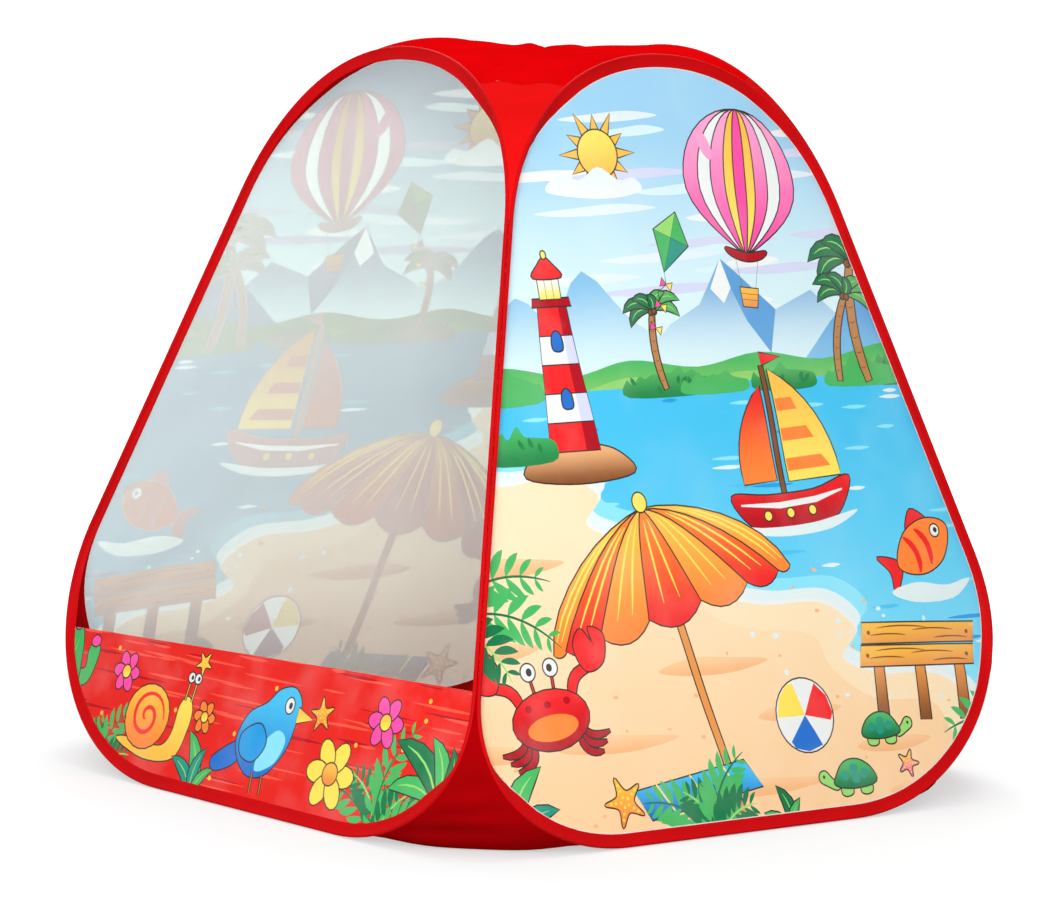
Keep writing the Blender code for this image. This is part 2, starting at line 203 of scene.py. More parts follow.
class Wall:
    """One leaning wall: its plane, and the line of the hoop in it."""

    ROUND = {Face.FRONT: -1, Face.RIGHT: 1, Face.BACK: -1, Face.LEFT: 1}
    OPEN = {Face.BACK: 1, Face.LEFT: -1}

    def __init__(self, face: Face, sizes: HoopSizes) -> None:
        """Args: face: which wall it is. sizes: the hoops' sizes."""
        self.face = face
        self.sizes = sizes
        self.turn = face.value * math.pi / 2

    def directions(self, local: Array) -> Array:
        """Directions of the wall's plane, as world directions."""
        local = np.asarray(local, float)
        lean_cos, lean_sin = math.cos(self.sizes.lean), math.sin(self.sizes.lean)
        x = local[..., 0]
        y = local[..., 1] * lean_sin - local[..., 2] * lean_cos
        z = local[..., 1] * lean_cos + local[..., 2] * lean_sin
        turn_cos, turn_sin = math.cos(self.turn), math.sin(self.turn)
        return np.stack((x * turn_cos - y * turn_sin, x * turn_sin + y * turn_cos, z), -1)

    def places(self, local: Array) -> Array:
        """Points (u, v, w) of the wall's plane, as world points."""
        base = self.sizes.half_base
        foot = np.array((base * math.sin(self.turn), -base * math.cos(self.turn), 0.0))
        return self.directions(local) + foot

    def inset(self, side: int) -> float:
        """How far the wire lies inside the corner line, so that two bindings stand face to face."""
        gap = self.sizes.open_seam_gap if side == self.OPEN.get(self.face) else self.sizes.seam_gap
        return (self.sizes.half_width + gap / 2) / math.sin(self.sizes.half_corner)

    def foot(self, side: int) -> float:
        """How far the straight run along the ground goes from the middle."""
        return self.sizes.round_foot if side == self.ROUND[self.face] else self.sizes.tight_foot

    def leg_point(self, v: float, side: int) -> Array:
        """The wire's place on a straight leg at height v."""
        lean_sin = math.sin(self.sizes.lean)
        corner = self.sizes.half_base - v * lean_sin
        return np.array((side * (corner - self.inset(side) * math.hypot(1, lean_sin)), v))

    def leg_way(self, side: int) -> Array:
        """The way up a leg."""
        return unit(np.array((-side * math.sin(self.sizes.lean), 1.0)))

    def corner(self, side: int, shares: Array) -> tuple[Array, Array]:
        """Points and directions of a bottom corner, from the foot (0) to the leg (1)."""
        s = self.sizes
        is_round = side == self.ROUND[self.face]
        leg_end = s.round_leg_end if is_round else s.tight_leg_end
        handle = s.round_handle_share if is_round else s.tight_handle_share
        start = np.array((side * self.foot(side), s.foot_rise))
        end = self.leg_point(leg_end, side)
        meet = self.leg_point(s.foot_rise, side)
        low = start + (meet - start) * s.foot_handle_share
        high = end + (meet - end) * handle
        return bezier((start, low, high, end), shares)

    def arch(self, side: int, shares: Array) -> tuple[Array, Array]:
        """Points and directions of half the arch, from the leg (0) to the peak (1)."""
        s = self.sizes
        start = self.leg_point(s.leg_top, side)
        high = start + self.leg_way(side) * s.shoulder_rise
        peak = np.array((0.0, s.peak))
        run = np.array((side * s.peak_run, s.peak))
        return bezier((start, high, run, peak), shares)

    def line(self, places: Array, ways: Array, side: int) -> HoopLine:
        """A hoop line through these places, which all lie on one side."""
        s = self.sizes
        ways = ways * side
        inward = np.stack((-ways[:, 1], ways[:, 0]), -1)
        leg_out = unit(np.array((side * 1.0, math.sin(s.lean))))
        away = -(places - self.leg_point(0.0, side)) @ leg_out
        near = smooth(1 - away / s.fin_fade)[:, None]
        fin = -np.array((*(leg_out * math.cos(s.half_corner)), math.sin(s.half_corner)))
        level = np.zeros((len(places), 1))
        along = unit(np.hstack((ways, level)))
        lips = unit((1 - near) * np.hstack((inward, level)) + near * fin)
        lips = unit(lips - along * np.sum(lips * along, axis=1, keepdims=True))
        depths = s.lip_depth + (s.fin_depth - s.lip_depth) * near[:, 0]
        return HoopLine(np.hstack((places, level)), along, lips, depths)

    def hoop(self, spacing: float) -> HoopLine:
        """The whole hoop, from the middle of the bottom to the right and up, back to its start."""
        s = self.sizes
        halves = []
        for side in (1, -1):
            foot = self.foot(side)
            count = max(2, round(foot / spacing))
            flat = np.stack((side * foot * np.arange(count) / count, np.full(count, s.foot_rise)), -1)
            flat_ways = np.tile((side * 1.0, 0.0), (count, 1))
            low, low_ways = self.corner(side, np.linspace(0, 1, round(s.corner_run / spacing)))
            count = max(2, round((s.leg_top - low[-1][1]) / spacing))
            shares = np.arange(1, count)[:, None] / count
            leg = low[-1] + (self.leg_point(s.leg_top, side) - low[-1]) * shares
            leg_ways = np.tile(self.leg_way(side), (count - 1, 1))
            high, high_ways = self.arch(side, np.linspace(0, 1, round(s.arch_run / spacing)))
            places = np.vstack((flat, low, leg, high))
            ways = np.vstack((flat_ways, low_ways, leg_ways, high_ways))
            halves.append(self.line(places, ways, side))
        pairs = zip(*(vars(half).values() for half in halves))
        return HoopLine(*(np.concatenate((first, second[-2::-1])) for first, second in pairs))

    def back_edge(self, curve: Curve, side: int, shares: Array, tuck: float) -> Array:
        """World points on the tape's back, where a roof or a gusset is sewn in.

        Args:
            curve: which bent run.
            side: 1 for the right, -1 for the left.
            shares: places along that curve.
            tuck: how far inside the tape's back the cloth's edge ends.

        Returns:
            One world point a share.
        """
        run = self.corner if curve is Curve.CORNER else self.arch
        line = self.line(*run(side, shares), side)
        return self.places(line.points - line.lips * (self.sizes.back - tuck))


def bezier(points: Sequence[Array], shares: Array) -> tuple[Array, Array]:
    """Points and directions of a cubic curve at shares of its way."""
    a, b, c, d = (np.asarray(point, float) for point in points)
    t = np.asarray(shares, float)[:, None]
    r = 1 - t
    places = a * r**3 + 3 * b * t * r**2 + 3 * c * t**2 * r + d * t**3
    slopes = (b - a) * r**2 + 2 * (c - b) * t * r + (d - c) * t**2
    return places, unit(slopes)


class Ripple:
    """A seeded sum of sine waves that stands for puckers and slack in cloth."""

    def __init__(self, seed: int, wavelengths: Sequence[float], dimensions: int = 1) -> None:
        """Args: seed: fixes the waves. wavelengths: in metres. dimensions: of its points."""
        chance = np.random.default_rng(seed)
        turns = chance.uniform(0, 2 * math.pi, (len(wavelengths), dimensions))[:, 0]
        ways = unit(np.stack((np.cos(turns), np.sin(turns)), -1))
        if dimensions == 1:
            ways = np.ones((len(wavelengths), 1))
        self.dimensions = dimensions
        self.waves = ways * (2 * math.pi / np.asarray(wavelengths))[:, None]
        self.phases = chance.uniform(0, 2 * math.pi, len(wavelengths))

    def at(self, points: Array) -> Array:
        """The ripple's height, within about 1 of level, at each distance or (x, y) of an array."""
        rows = points.reshape(-1, self.dimensions)
        heights = np.sin(rows @ self.waves.T + self.phases).mean(axis=1) * 1.6
        return heights.reshape(points.shape if self.dimensions == 1 else points.shape[:-1])


class Socket:
    """A node's output that ordinary arithmetic works on."""

    def __init__(self, tree: Tree, link: NodeSocket | None) -> None:
        """Args: tree: the tree it belongs to. link: the node output it reads."""
        self.tree = tree
        self.link = link

    def _maths(self, operation: str, *values: Socket | float) -> Socket:
        """One Math node with these values."""
        return self.tree.node("ShaderNodeMath", {"operation": operation}, dict(enumerate(values)))

    def __add__(self, other: Socket | float) -> Socket:
        """The sum."""
        return self._maths("ADD", self, other)

    def __sub__(self, other: Socket | float) -> Socket:
        """The difference."""
        return self._maths("SUBTRACT", self, other)

    def __rsub__(self, other: float) -> Socket:
        """The difference from a number."""
        return self._maths("SUBTRACT", other, self)

    def __mul__(self, other: Socket | float) -> Socket:
        """The product."""
        return self._maths("MULTIPLY", self, other)

    __radd__ = __add__
    __rmul__ = __mul__

    def clamped(self) -> Socket:
        """The value held between 0 and 1."""
        return self._maths("MINIMUM", self._maths("MAXIMUM", self, 0.0), 1.0)

    def either(self, other: Socket) -> Socket:
        """The larger of the two."""
        return self._maths("MAXIMUM", self, other)

    def part(self, name: str | int) -> Socket:
        """Another output of the same node."""
        return Socket(self.tree, self.link.node.outputs[name])


class Tree:
    """A node tree that is put together by method calls."""

    def __init__(self, tree: NodeTree) -> None:
        """Args: tree: the node tree of a material, a world or a modifier."""
        self.nodes = tree.nodes
        self.links = tree.links

    def node(self, kind: str, settings: dict | None = None, sockets: dict | None = None) -> Socket:
        """Adds a node.

        Args:
            kind: Blender's name for the node type.
            settings: node properties, which are set first.
            sockets: values or links by socket name or number.

        Returns:
            The node's first output.
        """
        made = self.nodes.new(kind)
        for name, value in (settings or {}).items():
            setattr(made, name, value)
        for name, value in (sockets or {}).items():
            self.put(made.inputs[name], value)
        return Socket(self, next(iter(made.outputs), None))

    def put(self, target: NodeSocket, value: Socket | float | Sequence) -> None:
        """Links or sets one input."""
        if isinstance(value, Socket):
            self.links.new(value.link, target)
        elif isinstance(value, (tuple, list)) and len(value) == 3 and target.type == "RGBA":
            target.default_value = (*value, 1.0)
        else:
            target.default_value = value

    def direct_view(self) -> Socket:
        """1 for what the camera, a reflection or glass sees, and 0 for light that falls on things."""
        path = self.node("ShaderNodeLightPath")
        return path.either(path.part("Is Glossy Ray")).either(path.part("Is Transmission Ray"))


class Shader(Tree):
    """A node material."""

    def __init__(self, name: str) -> None:
        """Args: name: the material's name."""
        self.material = bpy.data.materials.new(name)
        self.material.use_nodes = True
        super().__init__(self.material.node_tree)
        self.principled = self.nodes["Principled BSDF"]

    def surface(self, **values: Socket | float | Sequence) -> None:
        """Sets the Principled shader's inputs, with _ for a space in a name."""
        for name, value in values.items():
            self.put(self.principled.inputs[name.replace("_", " ")], value)

    def coordinates(self, name: str = "Object") -> Socket:
        """The piece's own coordinates."""
        return self.node("ShaderNodeTexCoord").part(name)

    def scaled(self, vector: Socket, scale: Sequence[float]) -> Socket:
        """Coordinates stretched by a scale."""
        return self.node("ShaderNodeMapping", {}, {"Vector": vector, "Scale": tuple(scale)})

    def noise(self, vector: Socket, scale: float, detail: float = 2.0) -> Socket:
        """A noise value from 0 to 1."""
        inputs = {"Vector": vector, "Scale": scale, "Detail": detail}
        return self.node("ShaderNodeTexNoise", {}, inputs)

    def mix(self, factor: Socket | float, first: Socket | Rgb, second: Socket | Rgb) -> Socket:
        """A colour between two."""
        made = self.node("ShaderNodeMix", {"data_type": "RGBA"}).link.node
        for socket, value in zip(("Factor", 6, 7), (factor, first, second)):
            self.put(made.inputs[socket], value)
        return Socket(self, made.outputs[2])

    def bump(self, height: Socket, distance: float, strength: float) -> None:
        """Feeds a bump to the surface's normal."""
        inputs = {"Height": height, "Distance": distance, "Strength": strength}
        self.surface(Normal=self.node("ShaderNodeBump", {}, inputs))

    def weave(self, coordinates: Socket, pitch: float) -> Socket:
        """A plain weave's height: two crossed threads of this pitch."""
        bands_per_scale = 0.32
        waves = []
        for direction in ("X", "Y"):
            settings = {"wave_type": "BANDS", "bands_direction": direction}
            inputs = {"Vector": coordinates, "Scale": 1.0 / pitch / 2 * bands_per_scale, "Distortion": 0.0}
            waves.append(self.node("ShaderNodeTexWave", settings, inputs))
        return waves[0] * waves[1]

    def greyness(self, colour: Socket) -> Socket:
        """How light a colour is, from 0 to 1."""
        return self.node("ShaderNodeRGBToBW", {}, {"Color": colour})

    def let_light_through(self, share: Socket | float, colour: Rgb) -> None:
        """Lets part of the light fall through the cloth."""
        through = self.node("ShaderNodeBsdfTranslucent", {}, {"Color": colour})
        both = self.node("ShaderNodeMixShader", {}, {0: share}).link.node
        self.links.new(self.principled.outputs[0], both.inputs[1])
        self.links.new(through.link, both.inputs[2])
        self.links.new(both.outputs[0], self.nodes["Material Output"].inputs["Surface"])


@dataclass(frozen=True)
class RedCloth:
    """Plain red polyester, with a fine weave, a slight sheen and blotches of painted shade for soft
    wrinkles.
    """

    name: str
    colour: Rgb
    roughness: float = 0.55
    weave_pitch: float = 0.0008
    through: float = 0.0
    gloss: float = 0.0
    shade: float = 0.78
    relief: float = 0.0016

    def make(self) -> Material:
        """The material."""
        shader = Shader(self.name)
        place = shader.coordinates()
        # Painted shade: noise blotches darken the red by the shade share, standing for the shade of soft
        # wrinkles.
        wrinkle_shade_noise = shader.noise(place, 9.0, 3.0)
        fine = shader.noise(place, 260.0)
        wrinkle_shade_colour = tuple(channel * self.shade for channel in self.colour)
        colour = shader.mix(((wrinkle_shade_noise - 0.35) * 1.6).clamped(), wrinkle_shade_colour, self.colour)
        weave = shader.weave(shader.coordinates("UV"), self.weave_pitch)
        shader.surface(Base_Color=colour, Roughness=fine * 0.16 + (self.roughness - 0.08))
        shader.surface(Specular_IOR_Level=self.gloss)
        creases = shader.noise(shader.scaled(place, (1.0, 1.0, 0.55)), 34.0, 3.0)
        shader.bump(weave * 0.05 + creases * 0.9, self.relief, 0.55)
        if self.through:
            shader.let_light_through(self.through, self.colour)
        return shader.material


@dataclass(frozen=True)
class Steel:
    """Drawn spring wire or a crimped tube."""

    name: str
    colour: Rgb = (0.42, 0.43, 0.45)
    roughness: float = 0.32
    relief: float = 0.0001

    def make(self) -> Material:
        """The material."""
        shader = Shader(self.name)
        marks = shader.noise(shader.scaled(shader.coordinates(), (1.0, 1.0, 6.0)), 420.0, 3.0)
        dull = tuple(channel * 0.7 for channel in self.colour)
        shader.surface(Base_Color=shader.mix(marks, dull, self.colour), Metallic=1.0)
        shader.surface(Roughness=marks * 0.2 + (self.roughness - 0.1))
        shader.bump(marks, self.relief, 0.4)
        return shader.material


@dataclass(frozen=True)
class PrintedCloth:
    """White polyester printed on its outer face, which shows through faintly on the inner one."""

    name: str
    inner: bool = False
    through: float = 0.42
    fade: float = 0.90
    bare: Rgb = linear(246, 252, 248)
    light: Rgb = (0.92, 0.99, 0.97)
    roughness: float = 0.52
    relief: float = 0.0014

    def make(self) -> Material:
        """The material."""
        shader = Shader(self.name)
        inked = shader.node("ShaderNodeVertexColor", {"layer_name": PRINT})
        place = shader.coordinates()
        worn = ((shader.noise(place, 14.0, 4.0) - 0.45) * 0.22).clamped()
        colour = shader.mix(self.fade if self.inner else worn, inked, self.bare)
        fine = shader.noise(place, 300.0)
        shader.surface(Base_Color=colour, Roughness=fine * 0.14 + (self.roughness - 0.07))
        shader.surface(Specular_IOR_Level=0.06)
        weave = shader.weave(shader.coordinates("UV"), 0.0008)
        creases = shader.noise(shader.scaled(place, (1.0, 1.0, 0.6)), 24.0, 3.0)
        shader.bump(weave * 0.04 + creases * 0.6, self.relief, 0.45)
        shader.let_light_through(shader.greyness(inked) * self.through, self.light)
        return shader.material


class Finishes:
    """All materials of the tent, each made once."""

    def __init__(self) -> None:
        """Makes them."""
        self.tape = RedCloth("red binding tape", linear(194, 8, 13), gloss=0.03).make()
        self.satin = RedCloth("red satin cloth", linear(216, 18, 18), 0.72).make()
        # The roof quarters' red is the gussets' cloth painted darker: painted shade on the roof's top.
        self.crown = RedCloth("red roof cloth", linear(212, 4, 8), 0.72).make()
        # Deep red for the base gussets and floor: partly the cloth's own deeper red, partly painted shade of
        # the low corners.
        self.deep = RedCloth("deep red cloth", linear(174, 4, 9), 0.75, through=0.2).make()
        self.thread = RedCloth("red thread", linear(214, 10, 16), 0.6, 0.0002, gloss=0.1).make()
        self.print = PrintedCloth("printed cloth").make()
        self.inside = PrintedCloth("printed cloth inside", inner=True, through=0.66).make()
        self.solids = {"hoop_wire": Steel("spring steel").make(),
                       "hoop_ferrule": Steel("crimp steel", (0.55, 0.55, 0.56), 0.4).make()}

    def dress_solids(self, nodes: dict[str, Object]) -> None:
        """Gives the solids that stay their finish."""
        for name, made in nodes.items():
            for kind, finish in self.solids.items():
                if kind in name:
                    for slot in made.material_slots:
                        slot.material = finish


def mesh_object(name: str, points: Array, faces: Sequence[Sequence[int]]) -> Object:
    """A smooth-shaded mesh object at the origin."""
    mesh = bpy.data.meshes.new(name)
    mesh.from_pydata(points.tolist(), [], faces)
    mesh.shade_smooth()
    return linked(name, mesh)


def linked(name: str, data: ID) -> Object:
    """A new object in the scene with this mesh, lamp or camera."""
    made = bpy.data.objects.new(name, data)
    bpy.context.scene.collection.objects.link(made)
    return made


def set_uv(obj: Object, flat: Array) -> None:
    """Gives each vertex its place in the flat cloth as UV, in metres."""
    mesh = obj.data
    layer = mesh.uv_layers.new(name="Flat")
    corners = np.empty(len(mesh.loops), np.int32)
    mesh.loops.foreach_get("vertex_index", corners)
    layer.uv.foreach_set("vector", flat[corners].astype(np.float32).ravel())


def recalculate(obj: Object) -> None:
    """Turns a closed mesh's faces outwards."""
    work = bmesh.new()
    work.from_mesh(obj.data)
    bmesh.ops.recalc_face_normals(work, faces=work.faces)
    if work.calc_volume(signed=True) < 0:
        bmesh.ops.reverse_faces(work, faces=work.faces)
    work.to_mesh(obj.data)
    work.free()


def thin_sheet(name: str, points: Array, faces: list, flat: Array, thickness: float) -> Object:
    """A closed thin sheet whose outer and inner faces lie either side of an open surface.

    Args:
        name: the piece's name.
        points: world points of the surface.
        faces: its faces, which point out of the tent.
        flat: each point's place in the flat cloth, in metres.
        thickness: of the cloth.

    Returns:
        The piece. Its outer faces come first, in the order given.
    """
    open_mesh = bpy.data.meshes.new(name)
    open_mesh.from_pydata(points.tolist(), [], faces)
    normals = np.empty(len(points) * 3)
    open_mesh.vertex_normals.foreach_get("vector", normals)
    normals = normals.reshape(-1, 3)
    bpy.data.meshes.remove(open_mesh)
    count = len(points)
    edges = dict.fromkeys(pair for face in faces for pair in zip(face, (*face[1:], face[0])))
    rim = [(b, a, a + count, b + count) for a, b in edges if (b, a) not in edges]
    inner = [tuple(corner + count for corner in reversed(face)) for face in faces]
    both = np.vstack((points + normals * thickness / 2, points - normals * thickness / 2))
    made = mesh_object(name, both, [*faces, *inner, *rim])
    made.data.set_sharp_from_angle(angle=math.radians(50))
    set_uv(made, np.vstack((flat, flat)))
    return made


def grid_faces(rows: int, columns: int, flip: bool) -> list[list[int]]:
    """The quads of a grid of points, row by row."""
    first = (np.arange(rows - 1)[:, None] * columns + np.arange(columns - 1)).reshape(-1, 1)
    quads = first + np.array((0, 1, columns + 1, columns))
    return (quads[:, ::-1] if flip else quads).tolist()


def flat_grid(grid: Array) -> Array:
    """Flat-cloth places for a grid of points: lengths along its rows and down its columns."""
    steps = np.linalg.norm(np.diff(grid, axis=1, prepend=grid[:, :1]), axis=2).cumsum(axis=1)
    drops = np.linalg.norm(np.diff(grid, axis=0, prepend=grid[:1]), axis=2).cumsum(axis=0)
    return np.stack((steps - steps[:, -1:] / 2, drops), -1).reshape(-1, 2)


def welded(points: Array, flat: Array, faces: list) -> tuple[Array, Array, list]:
    """Joins points that fall together, and drops the faces' repeated corners."""
    keys = np.round(points * 1e6).astype(np.int64)
    _, first, where = np.unique(keys, axis=0, return_index=True, return_inverse=True)
    where = where.ravel().tolist()
    joined = (tuple(dict.fromkeys(where[corner] for corner in face)) for face in faces)
    return points[first], flat[first], [face for face in joined if len(face) > 2]


def ring_edges(counts: Iterable[int], start: int = 0) -> list[list[int]]:
    """The edges of closed runs of points that follow one another."""
    edges = []
    for count in counts:
        index = np.arange(count) + start
        edges.append(np.stack((index, np.roll(index, -1)), -1))
        start += count
    return np.vstack(edges).tolist()


class StitchTree:
    """A Geometry Nodes tree that lays thread stitches along a seam line."""

    def __init__(self, finish: Material, pitch: float = 0.0036, length: float = 0.0026,
                 radius: float = 0.00022) -> None:
        """Args: finish: the thread's. pitch: from stitch to stitch. length, radius: of a stitch."""
        self.group = bpy.data.node_groups.new("Stitches", "GeometryNodeTree")
        self.finish = finish
        self.radius = radius
        self.values = {"Pitch": pitch, "Length": length, "Thread Radius": radius}
        sockets = self.group.interface
        sockets.new_socket("Geometry", in_out="INPUT", socket_type="NodeSocketGeometry")
        self.inputs = {name: sockets.new_socket(name, in_out="INPUT",
                                                socket_type="NodeSocketFloat").identifier
                       for name in self.values}
        sockets.new_socket("Geometry", in_out="OUTPUT", socket_type="NodeSocketGeometry")
        self.build(Tree(self.group))

    def build(self, tree: Tree) -> None:
        """Puts the tree together: even points, a bead on each, and a small chance turn and stretch."""
        given = tree.node("NodeGroupInput")
        radius = given.part("Thread Radius")
        curve = tree.node("GeometryNodeMeshToCurve", {}, {"Mesh": given.part("Geometry")})
        even = tree.node("GeometryNodeResampleCurve", {"mode": "LENGTH"},
                         {"Curve": curve, "Length": given.part("Pitch")})
        facing = tree.node("GeometryNodeInputNamedAttribute", {"data_type": "FLOAT_VECTOR"},
                           {"Name": FACING})
        turn = tree.node("FunctionNodeAxesToRotation", {"primary_axis": "X", "secondary_axis": "Z"},
                         {"Primary Axis": tree.node("GeometryNodeInputTangent"), "Secondary Axis": facing})
        stretch, sway = (tree.node("FunctionNodeRandomValue", {"data_type": "FLOAT"},
                                   {2: low, 3: high, "Seed": seed}).part(1)
                         for low, high, seed in ((0.86, 1.10, 12), (-0.10, 0.10, 31)))
        yaw = tree.node("ShaderNodeCombineXYZ", {}, {"Z": sway})
        small = tree.node("FunctionNodeEulerToRotation", {}, {0: yaw})
        whole = tree.node("FunctionNodeRotateRotation", {"rotation_space": "LOCAL"}, {0: turn, 1: small})
        bead = tree.node("GeometryNodeMeshUVSphere", {}, {"Segments": 5, "Rings": 4, "Radius": 1.0})
        long = given.part("Length") * 0.5 * stretch
        size = tree.node("ShaderNodeCombineXYZ", {}, {"X": long, "Y": radius, "Z": radius})
        laid = tree.node("GeometryNodeInstanceOnPoints", {},
                         {"Points": even, "Instance": bead, "Rotation": whole, "Scale": size})
        real = tree.node("GeometryNodeRealizeInstances", {}, {0: laid})
        dressed = tree.node("GeometryNodeSetMaterial", {}, {"Geometry": real, "Material": self.finish})
        tree.node("NodeGroupOutput", {}, {0: dressed})

    def sew(self, name: str, lines: Sequence[tuple[Array, Array]]) -> Object:
        """Sews stitches along closed lines.

        Args:
            name: the piece's name.
            lines: each a run of world points, and the way that the stitches face at each.

        Returns:
            The stitches as one plain mesh.
        """
        runs, facings = zip(*lines)
        mesh = bpy.data.meshes.new(f"{name}_line")
        mesh.from_pydata(np.vstack(runs).tolist(), ring_edges(map(len, runs)), [])
        mesh.materials.append(self.finish)
        attribute = mesh.attributes.new(FACING, "FLOAT_VECTOR", "POINT")
        attribute.data.foreach_set("vector", np.vstack(facings).astype(np.float32).ravel())
        line = linked(f"{name}_line", mesh)
        modifier = line.modifiers.new("Stitches", "NODES")
        modifier.node_group = self.group
        for label, value in self.values.items():
            modifier[self.inputs[label]] = value
        graph = bpy.context.evaluated_depsgraph_get()
        sewn = bpy.data.meshes.new_from_object(line.evaluated_get(graph), depsgraph=graph)
        sewn.name = name
        sewn.shade_smooth()
        line.modifiers.remove(modifier)
        bpy.data.objects.remove(line)
        return linked(name, sewn)


@dataclass
class BindingTape:
    """The folded tape round each wall's hoop wire, with its lips and stitching."""

    sizes: HoopSizes
    finish: Material
    thread: StitchTree
    spacing: float = 0.010
    thickness: float = 0.0005
    slot_half: float = 0.00028
    ridge_inset: float = 0.0004
    ridge_spread: float = 0.00014
    pucker: float = 0.00035
    stitch_inset: float = 0.0022

    def profile(self, depth: float) -> Array:
        """The closed outline of the folded tape: distance along the lips, and height."""
        s = self.sizes
        lip = self.slot_half + self.thickness
        radius = s.back - self.ridge_inset
        high = s.half_width + self.ridge_spread
        turns = np.linspace(0.30 * math.pi, math.pi, 8)
        ridge = [(radius * math.cos(t) - self.ridge_inset, high * math.sin(t)) for t in turns]
        upper = [(depth, self.slot_half + 0.1 * MM), (depth + 0.15 * MM, lip * 0.8)]
        upper += [(depth - 0.25 * MM, lip), (depth * 0.75, lip), (depth * 0.48, lip + 0.1 * MM)]
        upper += [(depth * 0.32, lip + 0.5 * MM)] + ridge[:-1]
        outer = upper + ridge[-1:] + [(a, -b) for a, b in reversed(upper)]
        inner_upper = [(depth * 0.34, self.slot_half + 0.15 * MM)]
        inner_upper += [(a * 0.80 + 0.1 * MM, b * 0.80) for a, b in ridge[1:-1:2]]
        inner = inner_upper + [(-s.back + self.thickness, 0.0)]
        inner += [(a, -b) for a, b in reversed(inner_upper)]
        return np.array(outer + inner[::-1])

    def build(self, wall: Wall) -> None:
        """The tape of one wall and its stitches."""
        line = wall.hoop(self.spacing)
        wave = self.wave(wall, line)
        rings = []
        for number, point in enumerate(line.points[:-1]):
            depth = line.depths[number]
            shape = self.profile(depth)
            lift = np.clip(shape[:, 0] / depth, 0, 1) ** 2 * self.pucker * wave[number]
            rings.append(point + np.outer(shape[:, 0], line.lips[number])
                         + np.outer(shape[:, 1] + lift, line.heights[number]))
        count, total = len(rings[0]), len(rings)
        ring = np.arange(total)[:, None] * count
        side = np.arange(count)[None, :]
        next_ring, next_side = (ring + count) % (total * count), (side + 1) % count
        quads = (ring + side, next_ring + side, next_ring + next_side, ring + next_side)
        faces = np.stack(quads, -1).reshape(-1, 4)
        made = mesh_object(f"{wall.face.word}_binding_tape", wall.places(np.vstack(rings)), faces.tolist())
        shape = self.profile(self.sizes.lip_depth)
        lengths = np.concatenate(([0], np.linalg.norm(np.diff(shape, axis=0), axis=1).cumsum()))
        set_uv(made, np.stack((np.repeat(line.runs[:-1], count), np.tile(lengths, total)), -1))
        recalculate(made)
        made.data.materials.append(self.finish)
        made.data.set_sharp_from_angle(angle=math.radians(60))
        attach(made, wall.face.body)
        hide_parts(f"{wall.face.word}_binding")
        LOG.info("%s: %.2f m of folded tape", made.name, line.runs[-1])
        self.sew(wall)

    def sew(self, wall: Wall) -> None:
        """The two rows of stitches near the lips' edges of one wall's tape."""
        line = wall.hoop(self.spacing)
        at = line.depths - self.stitch_inset
        lift = (at / line.depths) ** 2 * self.pucker * self.wave(wall, line)
        rows = []
        for side in (1, -1):
            height = side * (self.slot_half + self.thickness + self.thread.radius * 0.3) + lift
            run = line.points + line.lips * at[:, None] + line.heights * height[:, None]
            rows.append((wall.places(run[:-1]), wall.directions(line.heights[:-1] * side)))
        made = self.thread.sew(f"{wall.face.word}_binding_stitches", rows)
        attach(made, wall.face.body)
        LOG.info("%s: two rows", made.name)

    @staticmethod
    def wave(wall: Wall, line: HoopLine) -> Array:
        """The pucker along the lips."""
        return Ripple(wall.face.value + 3, (0.016, 0.023, 0.041)).at(line.runs)


@dataclass(frozen=True)
class Fill:
    """One colour of the print, which may run into a second one across the shape."""

    colour: Rgb
    end: Rgb | None = None
    start_at: Point = (0.0, 0.0)
    end_at: Point = (0.0, 1.0)

    def at(self, places: Array) -> Array:
        """The linear colours at these places."""
        first = np.array(linear(*self.colour))
        if self.end is None:
            return np.tile(first, (len(places), 1))
        second = np.array(linear(*self.end))
        start, way = np.array(self.start_at), np.array(self.end_at) - np.array(self.start_at)
        share = smooth((places - start) @ way / (way @ way))[:, None]
        return first * (1 - share) + second * share


@dataclass
class Shape:
    """One printed area: the loop round it, and what fills it."""

    loop: Array
    fill: Fill


def holds(loop: Array, places: Array) -> Array:
    """Which places lie inside a loop, by the even-odd rule."""
    inside = np.zeros(len(places), bool)
    x, y = places[:, 0], places[:, 1]
    for (x0, y0), (x1, y1) in zip(loop, np.roll(loop, -1, axis=0)):
        if y0 != y1:
            crosses = (y0 > y) != (y1 > y)
            inside ^= crosses & (x < (x1 - x0) * (y - y0) / (y1 - y0) + x0)
    return inside


def closed_curve(points: Line, steps: int) -> Array:
    """A smooth closed loop through these points."""
    p = np.asarray(points, float)
    a, b, c, d = (np.roll(p, shift, 0)[:, None, :] for shift in (1, 0, -1, -2))
    t = (np.arange(steps) / steps)[None, :, None]
    curve = 0.5 * (2 * b + (c - a) * t + (2 * a - 5 * b + 4 * c - d) * t**2
                   + (3 * b - a - 3 * c + d) * t**3)
    return curve.reshape(-1, 2)


def turned(loop: Line, turn: float) -> Array:
    """A loop turned about the origin by an angle in degrees."""
    c, s = polar(turn, 1)
    return np.asarray(loop, float) @ np.array(((c, s), (-s, c)))


def polar(angle: float, reach: float) -> Point:
    """The point this far from the origin, at an angle in degrees."""
    turn = math.radians(angle)
    return math.cos(turn) * reach, math.sin(turn) * reach


def across(line: Array) -> Array:
    """The direction to the left of a line at each of its points."""
    ways = np.gradient(line, axis=0)
    return np.stack((-ways[:, 1], ways[:, 0]), -1)


